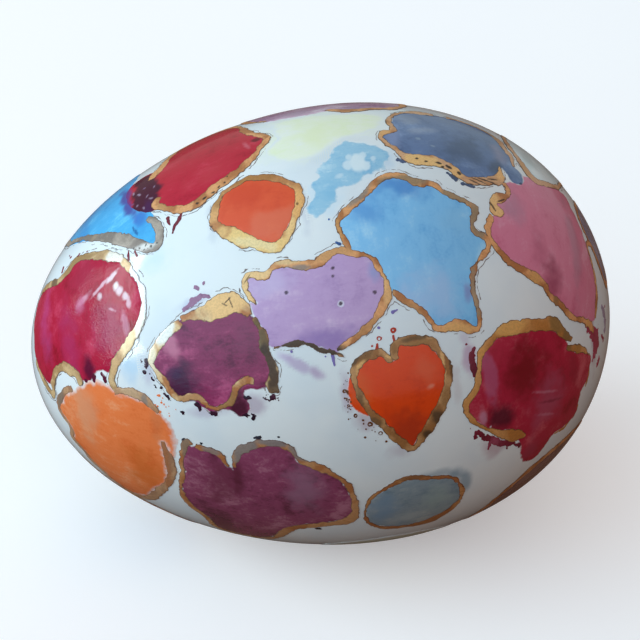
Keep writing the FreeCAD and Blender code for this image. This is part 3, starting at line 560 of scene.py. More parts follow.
# ---- the ware itself
def whole_egg(around, along):
    """The shell's points and triangles, with no hole in it."""
    x = -EGG_LENGTH / 2 * np.cos(pi * np.arange(1, along) / along)
    a = 360 * np.arange(around) / around
    points = shell(x[:, None], a[None, :]).reshape(-1, 3)
    points = np.concatenate([points, [[-EGG_LENGTH / 2, 0, 0], [EGG_LENGTH / 2, 0, 0]]])
    at = np.arange((along - 1) * around).reshape(along - 1, around)
    turn = np.roll(at, -1, axis=1)
    sharp_tip, blunt_tip = len(points) - 2, len(points) - 1
    return points, np.concatenate([
        np.stack([at[:-1], at[1:], turn[1:]], -1).reshape(-1, 3),
        np.stack([at[:-1], turn[1:], turn[:-1]], -1).reshape(-1, 3),
        np.stack([0 * at[0] + sharp_tip, at[0], turn[0]], -1),
        np.stack([0 * at[0] + blunt_tip, turn[-1], at[-1]], -1)])


def glaze_shell():
    """The glaze as one smooth, closed coat, open over the foot."""
    points, triangles = whole_egg(around=240, along=150)
    piece = new_piece("glaze", points, triangles, glaze_material())
    bm = bmesh.new()
    bm.from_mesh(piece.data)
    bmesh.ops.bisect_plane(bm, geom=bm.verts[:] + bm.edges[:] + bm.faces[:],
                           plane_co=(0, 0, BARE_RIM / 1000), plane_no=(0, 0, 1),
                           clear_inner=True)
    bmesh.ops.recalc_face_normals(bm, faces=bm.faces[:])
    bm.to_mesh(piece.data)
    bm.free()
    thick = piece.modifiers.new("thickness", "SOLIDIFY")
    thick.thickness = GLAZE / 1000
    thick.offset = -1
    apply_modifiers(piece)
    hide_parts("glaze_coat")


def apply_modifiers(piece):
    evaluated = piece.evaluated_get(bpy.context.evaluated_depsgraph_get())
    mesh = bpy.data.meshes.new_from_object(evaluated)
    piece.modifiers.clear()
    piece.data = mesh


# ---- the enamel fields
def shades(deep, main, light, **brush):
    """Three shades of one enamel, and how the brush laid it on."""
    return dict(deep=deep, main=main, light=light, **brush)


ENAMELS = {
    "amber": shades("b8701c", "d9942f", "ebb865", turn=30),
    "azure": shades("2c5fa8", "4b80c4", "86ace0", turn=60),
    "bud": shades("d43f1e", "e6562c", "f47342", turn=20, contrast=0.5),
    "cerulean": shades("3691cf", "4cb0e7", "77d1f9", turn=35),
    "crimson": shades("9d1428", "be2238", "cf3a50", turn=25, contrast=0.6),
    "heart": shades("cb3208", "ea450c", "f86020", turn=10, contrast=0.5),
    "lemon": shades("eef4d0", "f2f5dd", "f3f5ea", thin=1.2, bare=1.0),
    "lilac": shades("ab86b8", "c39fcb", "dcbeda", turn=50, contrast=0.7),
    "mauve": shades("a5789e", "c8a0b8", "e8cedd"),
    "orange": shades("c9541c", "dd7032", "ec9a62", turn=70),
    "plum": shades("681d41", "8e305a", "b64e78", turn=40),
    "rose": shades("c65676", "dd7e98", "eaacbe", turn=80, grain_mm=(1.6, 6), contrast=0.7),
    "ruby": shades("921226", "b51e3c", "cc3e5c", turn=80, grain_mm=(2.4, 4), contrast=0.8),
    "seafoam": shades("cfe4ea", "e2f0f2", "eef6f6", turn=90),
    "sky": shades("62ace2", "86c6f0", "aedcf6", turn=80, grain_mm=(2.0, 5), contrast=0.7),
    "slate": shades("435a82", "5f78a2", "849cc2", turn=10, grain_mm=(3, 2), contrast=0.7),
    "tangerine": shades("e4642a", "f48046", "f8a878", turn=55, contrast=0.7),
    "teal": shades("728794", "8d9da6", "a8b1b1", turn=5),
    "turquoise": shades("86bcdc", "9ecbe2", "c6e2ee", turn=40, thin=0.5, bare=1.0),
    "violet": shades("635a74", "837a92", "a9a2b4"),
}

# A touch of another shade: its middle (x, a), half its length and half its width in mm, its
# colour, how strongly it covers, how soft its edge is, and how many degrees it is turned
Touch = namedtuple("Touch", "x a long wide colour strength soft turn", defaults=[0])


def specks(colour, strength, soft, *places):
    """Touches that differ only in (x, a, long, wide) or (x, a, long, wide, turn)."""
    return [(*place[:4], colour, strength, soft, *place[4:]) for place in places]


# Touches of the enamel fields: most are shades of the paint, but the pale ones on crimson, plum, heart,
# tangerine and ruby_tip are painted highlights and painted reflections of the window
TOUCHES_AND_HIGHLIGHTS = {
    "crimson": [(-20.9, -1, 2.8, 7.5, "42122c", .96, .4), (-23.6, -4, 1.2, 6, "5d3a86", .9, .7),
        (-20.4, 9, 1.2, 3, "4a1c4c", .8, .6), (-21.7, -2.4, .22, .6, "b59ab0", .7, .5, 30),
        (-20.5, 1.2, .2, .5, "a88aa4", .7, .5, -30), (-21.9, 3.4, .22, .3, "a88aa4", .6, .5),
        (-20, 3.4, .2, .5, "b59ab0", .6, .5, 50), (-21, 6.4, .2, .4, "a88aa4", .7, .5, 20),
        (-19.5, -2.2, .2, .4, "a88aa4", .6, .5, -20), (-22.5, -5.4, .24, .6, "b59ab0", .7, .5, 10),
        (-20.9, -4.6, .2, .3, "8a6a8c", .7, .5, 60), (-22.6, 1.2, .3, .2, "7a5a80", .7, .5),
        # the pale pink streak at (-6.6, -3.6) is a painted highlight
        (-6.6, -3.6, .5, 2, "d4707e", .6, .9, 20), (-5.3, -5.4, 1, .9, "5a0f18", .85, .5),
        (-12, 4, 5, 3, "c23a44", .5, .9, 20)],
    "cerulean": [(-23.4, -3, 1.6, 6, "4a3f96", .9, .6, 10), (-30, -6, 2, 6, "3a90d2", .6, .8),
        (-21.6, 10.6, 1.6, 2.4, "4f58b4", .8, .7), (-22.4, 14.4, .2, 1, "1f5f9c", .8, .4, 8),
        (-22.1, 15.6, .2, .7, "1f5f9c", .8, .4), (-21.5, 12, 1.4, 2.5, "2f86d0", .6, .8)],
    "bud": [(-7.4, 17, 5, 3.4, "d8421c", .7, .7, 10), (-4, 27, 5, 2.8, "e6714e", .65, .6, 14)],
    "lilac": [(-5, 43, 4, 2.6, "cdb8dc", .7, .9), (1, 58, 6, 2.2, "8d6cae", .8, .9),
        (8, 43, 1.4, 1.8, "8f9ccc", .7, .8), (3.5, 49.8, .5, .5, "e2dcec", .9, .4),
        (3.5, 49.8, .28, .28, "3b2436", .95, .3), *specks("3b2436", .9, .3, (7.9, 48, .34, .3),
        (3, 41, .3, .3), (2.9, 43, .2, .3), (-3.2, 45.5, .3, .3))],
    "sky": [(13, 20, 6, 2.6, "3f84cc", .75, .9), (8, 27, 3, 3, "4f92d4", .6, .9),
        (15, 50, 6, 5, "a9c6ea", .75, .9), (19, 30, 3, 3, "8cc4e8", .5, .9),
        (19.7, 50, .9, 1.6, "8478b4", .6, .8)],
    # plum: the pale pink touch at (-18.8, 55) is a painted reflection of the window
    "plum": [(-18.8, 55, 1.6, 3.2, "c87892", .85, .6, 20), (-18, 66, 3, 4, "3a1636", .85, .8),
        (-9, 55, 2.6, 5, "83385a", .5, .9), (-11, 72.5, 1.6, 2.4, "3a1022", .85, .6),
        (-19, 63, 2, 1.2, "46204a", .6, .7)],
    # heart: the pale fleck at (13.6, 73) is a painted highlight
    "heart": [(9.8, 84, 5, 5, "b02f16", .8, .9), (13.5, 69, 2.4, 3, "e8613a", .6, .9),
        (5, 72, 2, 4, "e2662e", .5, .9), (13.6, 73, .8, .5, "f0a78a", .5, .8, 20)],
    "slate": [(16.6, -3, 3, 1.2, "98a2b6", .5, .9, 20), (26.4, -1, 1.6, 3.4, "9a93a8", .6, .9),
        (21.6, 4, 5.6, 5, "3e5372", .8, .9), (25.6, 8, 1.6, 2.4, "3c4c66", .75, .8),
        (12.6, 3, 1.6, 5, "8c98be", .6, .9), (16, 1.6, .5, .4, "8fa2b8", .6, .7),
        (17.8, 4.4, .4, .3, "9fb0c2", .5, .7), (13.3, 8, .6, .6, "33425a", .6, .6),
        (15, -9, 2, 2, "8d95a6", .5, .9)],
    "seafoam": [(30.5, -8, 1.4, 4, "c6d6d4", .6, .9)],
    "rose": [(27, 22, 3, 4, "b98298", .7, .9), (31, 50, 2.6, 5, "93304e", .8, .9),
        (35, 30, 1.6, 10, "b77f92", .6, .9), (30, 36, 2, 4, "b04e6c", .5, .8)],
    "ruby_blunt": [(26.5, 74, 5, 6, "7a0a16", .85, .9), (21.4, 74, 1.5, 5.4, "b8587a", .7, .5),
        (29, 90, 4.4, 6, "b04a64", .75, .9, -20), (22.4, 87.4, 2.6, 2.8, "520a24", .9, .8),
        (20, 85.4, .8, 2, "c894ac", .6, .8), (19.8, 88.6, .24, .24, "f0dce6", .8, .4),
        (20.8, 89.2, .2, .2, "f0dce6", .8, .4), (26, 106, 2, 3, "a23a52", .6, .9),
        (28.6, 86, 3, .3, "cc7c92", .6, .8, -24), (29.4, 91, 3, .3, "7c1430", .6, .8, -20),
        (28.4, 95, 2.6, .3, "c87890", .5, .8, -26), (32.8, 84, 1.6, 4, "9a2036", .6, .9)],
    "teal_oval": [(6, 110, 3, 6, "7b96ae", .8, .9), (13, 110, 3, 5, "9eafae", .8, .9),
        (9, 116, 3, 2, "c2cac8", .4, .9, 10)],
    "plum_belly": [(-15, 98, 5, 8, "6a2a3e", .6, .9), (-4, 98, 3.6, 7, "9a6a82", .75, .9),
        (-16, 122, 4, 6, "572336", .7, .9), (-12.6, 96, 1, 5, "5d2034", .7, .8)],
    # tangerine: the pale touch at (-32, 80) is a painted highlight
    "tangerine": [(-32, 80, 3.4, 7, "e29a72", .7, .9), (-25, 104, 4, 8, "d4641f", .6, .9),
        (-22, 78, 1.2, 4, "d97a4c", .5, .8)],
    # ruby_tip: the pale pink and white touches from (-30.4, 32.2) to (-24.6, 46) are painted reflections
    # of the window and its streak
    "ruby_tip": [(-36.4, 30, 2.4, 7, "c24a86", .5, .95), (-27, 48, 3.6, 6, "9e1a4e", .7, .9),
        (-33, 50, 3, 8, "b03668", .5, .9), (-30.5, 62, 1.6, 2.8, "551030", .9, .7),
        (-30, 20, 4, 6, "a82a44", .6, .9), (-30.4, 32.2, 2.2, .7, "e0a0b4", .8, .7, 24),
        (-27.6, 30, 2.4, .4, "ecc0cc", .85, .7, 30), (-26, 28.4, 1.6, .5, "f4dce2", .85, .6, 34),
        (-27.8, 33.9, .5, .7, "f4dce2", .8, .8, 20), (-25.4, 32.4, .7, .8, "fbf2f4", .9, .7),
        (-25, 34.6, .8, .8, "f4e0e6", .85, .7), (-24.2, 37.2, .6, .8, "f4dce2", .85, .7, 20),
        (-23.9, 39.6, .5, 1, "ecc4d0", .8, .7), (-26.2, 40.4, .9, .24, "e0a8ba", .7, .6, -30),
        (-24.6, 46, .7, 2.4, "d894aa", .6, .8), (-31, 34, 1.6, 1.8, "cc6a8c", .7, .8)],
    "lemon_wash": [(3, -3, 5, 6, "eaefb8", .5, .9)],
    "turquoise_wash": [(7.6, 11.4, 1.2, 2, "e6f1f3", .9, .5), (8.6, 12.6, .8, 1.2, "e2eef2", .85, .5),
        (6.4, 12.4, .8, 1, "dcebf1", .85, .5), (8.4, 9.4, .6, 1, "dcebf1", .8, .5),
        (6.6, 9.4, .5, .8, "d8e9f0", .8, .5), (9.8, 10.6, .5, .8, "d3e6ef", .8, .5),
        (5.2, 15.6, 1, .6, "d3e6ef", .7, .6, 30), (4, 20, 2, 3, "83bede", .6, .9)],
    "mauve": [(8, -17, 4, 2, "86608e", .6, .9), (0, -20, 4, 3, "b4a2b4", .5, .9)],
}

# Where one field was brushed differently from others of its colour
FIELD_LOOKS = {
    "crimson": dict(bare=0.0, gloss=.2),
    "cerulean": dict(bare=0.0, contrast=.7),
    "plum": dict(relief=.1),
    "ruby_tip": dict(shine=.04, relief=.15, grain_mm=(2, 3), gloss=.15),
    "tangerine": dict(thin=.8, bare=.7),
    "rose": dict(contrast=.5),
    "rose_under": shades("7c5a56", "94706a", "a88c80"),
    "plum_belly": shades("64273f", "8e4060", "b06c82", contrast=.95, grain_mm=(1.3, .9)),
    "ruby_blunt": dict(turn=95, light="cf5664"),
}


def ring_stroke(x, a, across, width):
    """A small closed ring, `across` mm wide between stroke centres."""
    degree = degrees(1 / float(girth(x)))
    return [(x + across / 2 * cos(t), a + across / 2 * sin(t) * degree, width)
            for t in np.linspace(0, 2 * pi, 13)]


def spray(x, a, long, wide, count, smallest, largest, seed):
    """Scattered droplets, as one-point strokes."""
    rng = np.random.default_rng(seed)
    return [[(x + long * rng.normal(), a + wide * rng.normal(), rng.uniform(smallest, largest))]
            for _ in range(count)]


# How far a field's rim strays and the size of its notches, and the fields with torn edges
EVEN_RIM = (0.16, 1.1)
RAGGED = {"tangerine": (.3, .9), "turquoise_wash": (.45, 1.6), "plum_belly": (.22, .8),
          "lemon_wash": (.5, 3), "cerulean": (.1, 1)}
# Fields that run over or under their neighbour, and lines drawn with a finer brush, in mm
SPREAD = {"cerulean": .6, "crimson": .3}
SLIM = {"teal_oval": .2, "plum_belly": .08, "ruby_blunt": .08, "lilac_sky": .05}

# Marks beside the fields: colour family, strokes through (x, a, width), and how they look
MARKS = {
    "drips_crimson": ("crimson", [[(-17.7, 15.4, .5), (-17.7, 17, .4), (-17.5, 18.4, .2)],
        [(-15.8, 15.6, .3), (-16.2, 17.4, .6), (-16.9, 19.6, .4), (-17.2, 21.6, .25)],
        [(-23.4, 21.4, .3), (-23.5, 25, .4)], [(-22.5, 22.6, .22), (-22.3, 24.6, .35)],
        [(-24.4, 24, .25)], [(-25.1, 15.5, .4)], [(-14.7, 16, .2)], [(-18.8, 15.6, .25)]],
        shades("5e101c", "7c1424", "9c2234")),
    "specks_tip": ("crimson", [[(-32.2, 1, .3)], [(-32, 3.4, .35)], [(-30.6, 7, .3), (-31.2, 8.4, .35)],
        [(-33.2, 5, .45), (-33.4, 7.4, .3)], [(-29.4, 9.6, .25)]], shades("5e101c", "8a1830", "9c2234")),
    "scraps_plum": ("plum", [[(-22.6, 58.6, .5), (-22.4, 60.6, .7)],
        [(-22, 63.4, .35), (-21.7, 65.6, .75)], [(-21.2, 67.4, .4), (-20.4, 70, .6), (-19.8, 71.4, .4)],
        [(-22.8, 62.4, .3)], [(-16.2, 72.2, .5), (-15.9, 74, .25)], [(-14.4, 75.2, .5), (-13.9, 76, .35)],
        [(-8, 71.8, .3)], [(-7.2, 71.9, .3)], [(-18.6, 73, .3), (-18.4, 75, .2)],
        [(-10.7, 72, 1.2), (-10.3, 75, .9), (-9.4, 76.2, .4)], [(-10, 70.6, .7)],
        [(-6.6, 71, .9), (-6.2, 70.2, .5)]], shades("180c1c", "2c1026", "4a1830", relief=.1), .42),
    "wisps_plum": ("mauve", [[(-16.6, 45.6, .5), (-15.4, 43.8, .9), (-14.2, 42.8, .8), (-13.2, 43.4, .4)],
        [(-14.7, 40, .35)], [(-14.5, 40.9, .2)], [(-13.6, 39.4, .3)]],
        shades("7c4468", "a0708e", "b890ac"), .22),
    "drops_lilac": ("lilac", [[(1.7, 62, .5), (1.8, 64.4, .2)], [(.8, 62, .3)],
        [(9.9, 53.2, .5), (10.5, 52.8, .25)], [(7.9, 56.6, .3)], [(-3.4, 60, .25)]],
        shades("564a8e", "7a6aae", "9688c0")),
    "fizz_heart": ("heart",
        spray(3.1, 73, .35, 3, 24, .1, .26, 31) + spray(6.4, 82.4, 1.5, 1.4, 26, .1, .24, 32),
        shades("4a2a18", "6a3c20", "8a5228")),
    "curls_heart": ("heart", [[(7.4, 62, .4), (7.5, 60.4, .2)], ring_stroke(7.8, 59.2, .5, .18),
        [(9.7, 60.4, .3), (9.6, 59, .2)], ring_stroke(9.7, 57.6, .5, .2), [(6.8, 60.8, .25)]],
        shades("8e1c0c", "b42c12", "c8401e")),
    "bubbles_heart": ("heart", [ring_stroke(3.1, 68.4, .3, .12), ring_stroke(2.7, 71, .36, .12),
        [(2.6, 72.8, .2)], ring_stroke(3, 74.8, .3, .12), ring_stroke(3.7, 77.6, .4, .13),
        [(4.6, 79, .3)], ring_stroke(5.4, 80.4, .5, .14), ring_stroke(6.6, 83.2, .5, .14),
        [(7.2, 85.8, .3)], [(3.4, 66.6, .2)], [(2.8, 76.4, .2)]], shades("4a2a18", "6a3c20", "8a5228")),
    "blots_slate": ("slate", [[(13.1, 10.8, .6), (13.7, 11.6, .8)], [(19.2, 14.8, .4), (20, 16.4, .7)],
        [(21, 17.8, .4), (22.4, 18.6, .3)], ring_stroke(28.4, 10.4, .7, .14)],
        shades("28364e", "3e4e6c", "56688a"), .2),
    "bits_belly": ("slate", [[(-18.9, 84.4, .5), (-18.2, 84, .3)], [(-15.6, 85.6, .35)],
        [(-16.6, 84.8, .25)], [(-9.6, 82.4, .4), (-8.4, 82, .3)], [(-6.4, 82, .25)], [(-12, 84.8, .3)],
        [(-3.2, 117.8, .8)], [(-2.2, 89.4, .25)]], shades("1c1a22", "2c2c38", "4c5468"), .18),
    "spray_tangerine": ("tangerine", spray(-20.6, 73.6, .8, 2.6, 18, .15, .5, 5), {}),
    "drips_tip": ("ruby", [[(-31.2, 63.6, .9), (-31, 66.8, .4)], [(-30, 64, .8), (-29.8, 67.4, .3)],
        [(-28.6, 63.4, .5), (-28.4, 65.6, .25)], [(-30.6, 68.4, .2)], [(-29.2, 68.6, .2)]],
        shades("3c0a1c", "5c1030", "7c1e44"), .2),
    "fringe_ruby": ("ruby", [[(19.7, 65.4, .4), (19.2, 67.6, .9), (19.5, 70.4, .9), (19.4, 72.4, .3)],
        [(19.2, 89.6, .5), (20.4, 93, 1), (22, 96.4, 1.1), (23.6, 98.8, .9), (24.4, 101.4, .6)],
        [(18.9, 89.4, .4), (18.6, 91.4, .2)], [(20.6, 94.6, .5), (20.3, 96.8, .25)], [(22.8, 99.8, .4)],
        [(18.2, 87.6, .3)], [(18.6, 63.8, .25)]], shades("4c0c1c", "7c1e34", "a44860"), .26),
    "edge_ruby": ("ruby", [
        [(35.4, 70, 1), (36, 74, 1.6), (36.6, 79, 2.2), (36.6, 84, 2), (36.1, 89, 1.2)],
        [(37.6, 84, .5), (37.8, 89, .6)], [(37, 95, .5), (36.6, 98, .6)]],
        shades("8c2038", "a83a54", "bc6078"), .3),
    "edge_mauve": ("mauve", [[(38.1, 64, .7), (38.3, 70, 1), (38.4, 78, 1), (38.2, 84, .6)]],
        shades("8a7890", "a898ac", "bcb0be"), .2),
    "edge_line": ("tangerine", [[(35.2, 92, .3), (35, 96, .4), (34.5, 100, .3)],
        [(33.2, 106, .3), (32.4, 109.4, .5), (31, 110.8, .4), (29.6, 108.4, .3)]],
        shades("8a5528", "bc7a3e", "d0904e"), .12, "gold_lustre"),
    "spray_back": ("ruby", spray(25, -100, 2.4, 5, 14, .15, .5, 21),
        shades("5e101c", "8a1830", "a83048")),
    "spray_azure": ("azure", spray(-1, -104, 4, 3, 12, .15, .4, 22),
        shades("24487e", "35609e", "4f7ab4")),
    "spray_dark": ("plum", spray(-17, -118, 3, 5, 14, .15, .45, 23),
        shades("180c1c", "2c1026", "4a1830"), .2),
    "spray_blunt": ("rose", spray(37, 60, .8, 10, 12, .15, .5, 24), shades("8c4a60", "a86478", "c08898")),
    "drops_sky": ("azure", [[(8.2, 38.5, .4)], [(4.2, 35.3, .4), (3.8, 34.6, .2)], [(5.8, 36.2, .4)],
        [(3.2, 28.4, .3)], [(6.3, 24.4, .2)], [(23.7, 33.8, .2)]], shades("24487e", "35609e", "4f7ab4")),
}

# Soft stains in the glaze: slot, then touches like those above
STAINS = {
    "stain_lemon": ("enamel_lemon", [(1, -4, 7.5, 8, "eef3d4", .8, .9), (-4, -2, 4, 5, "f1f4e0", .7, .9),
        (9, -6, 5, 5, "eff3e2", .6, .9), (2, 5, 4, 3, "eef3d6", .5, .9)]),
    "stain_turquoise": ("enamel_turquoise", [(7.4, 11, 6, 5.5, "d3e6f2", .6, .7),
        (3, 21, 3, 4.5, "cfe4f1", .6, .7), (11.5, 12, 1.6, 2.4, "b9cfe4", .5, .8)]),
    "stain_lilac": ("enamel_lilac", [(-4.4, 61, 1.6, .8, "c9b4d6", .6, .8, -30),
        (-2.6, 63.4, 2.6, 1, "b79cc2", .7, .7, -30), (-.6, 66.2, 1.6, 1.1, "b394b8", .75, .7, -35)]),
    "stain_heart": ("enamel_mauve", [(3, 71, 1.2, 4.6, "c6b6c4", .7, .8),
        (5, 79.6, 2.2, 2, "c2aeb6", .7, .8, -50), (9, 89.4, 2.6, 1.6, "c9bcc4", .6, .8),
        (17, 74, .9, 4, "d2c6c6", .5, .8)]),
    "stain_plum": ("enamel_mauve", [(-22.4, 62, 1.4, 3, "b4a8c2", .5, .9),
        (-15, 74.6, 4, 1.2, "b8a4bc", .5, .9), (-9, 73, 2.4, 2, "a88aa2", .6, .8),
        (-15.4, 44.4, 3, 1.2, "b4b4d6", .6, .8, 20)]),
    "stain_ruby": ("enamel_rose", [(19, 68, 1.3, 3.4, "c093b2", .7, .8),
        (21, 97, 2.6, 2.2, "b88c98", .6, .8, -50), (36.2, 80, 1, 8, "b2869a", .6, .8),
        (18.6, 62, 1.2, 1.4, "c7b3c6", .5, .9)]),
    "stain_bud": ("enamel_mauve", [(.3, 26, .9, 5, "cdd0da", .5, .8),
        (-11.8, 22, 1, 5, "c8ccd6", .5, .8)]),
    "stain_teal": ("enamel_teal", [(12, 99.8, 5.4, 1.2, "7f98a8", .6, .9, 4),
        (15.6, 101.8, 2.4, 1.5, "7f98a8", .8, .9, -35), (17, 106.8, 1.2, 3.4, "7f98a8", .75, .9),
        (7.6, 101, 2, 1, "7f98a8", .6, .9, 12), (4, 110.6, 1, 3, "8fa4ae", .6, .9)]),
    "stain_tip": ("enamel_azure", [(-24.6, 60, 3, 3, "a9cdea", .55, .9),
        (-20.4, 28, 4, 3, "b6dcf4", .35, .9)]),
}

# Gold that differs from the common run: dark, main and bright shade
GOLD_LOOKS = {
    "cerulean": dict(dark="665248", main="8f7f74", bright="bba898", pitted=.8),
    "slate_seafoam": dict(dark="38241a", main="c88a58", bright="e6b184", pitted=.5),
    "heart": dict(dark="54341c", main="a8703f", bright="cf9a66", pitted=.7),
    "ruby_blunt": dict(main="c8823f", bright="e2a263", pitted=.1),
    "plum_belly": dict(dark="6a5048", main="bb7544", bright="d49a68", pitted=.6),
    "teal_oval": dict(dark="6e4428", main="b87242", bright="d2935c"),
    "tangerine": dict(dark="8a6048", main="b08060", bright="d0a078", pitted=.5),
    "plum": dict(bright="f2ca94", pitted=.1),
    "bud": dict(main="c88650", bright="f0b272", pitted=.1),
    "ruby_tip": dict(main="b98e5c", bright="e6c08c", pitted=.6),
}
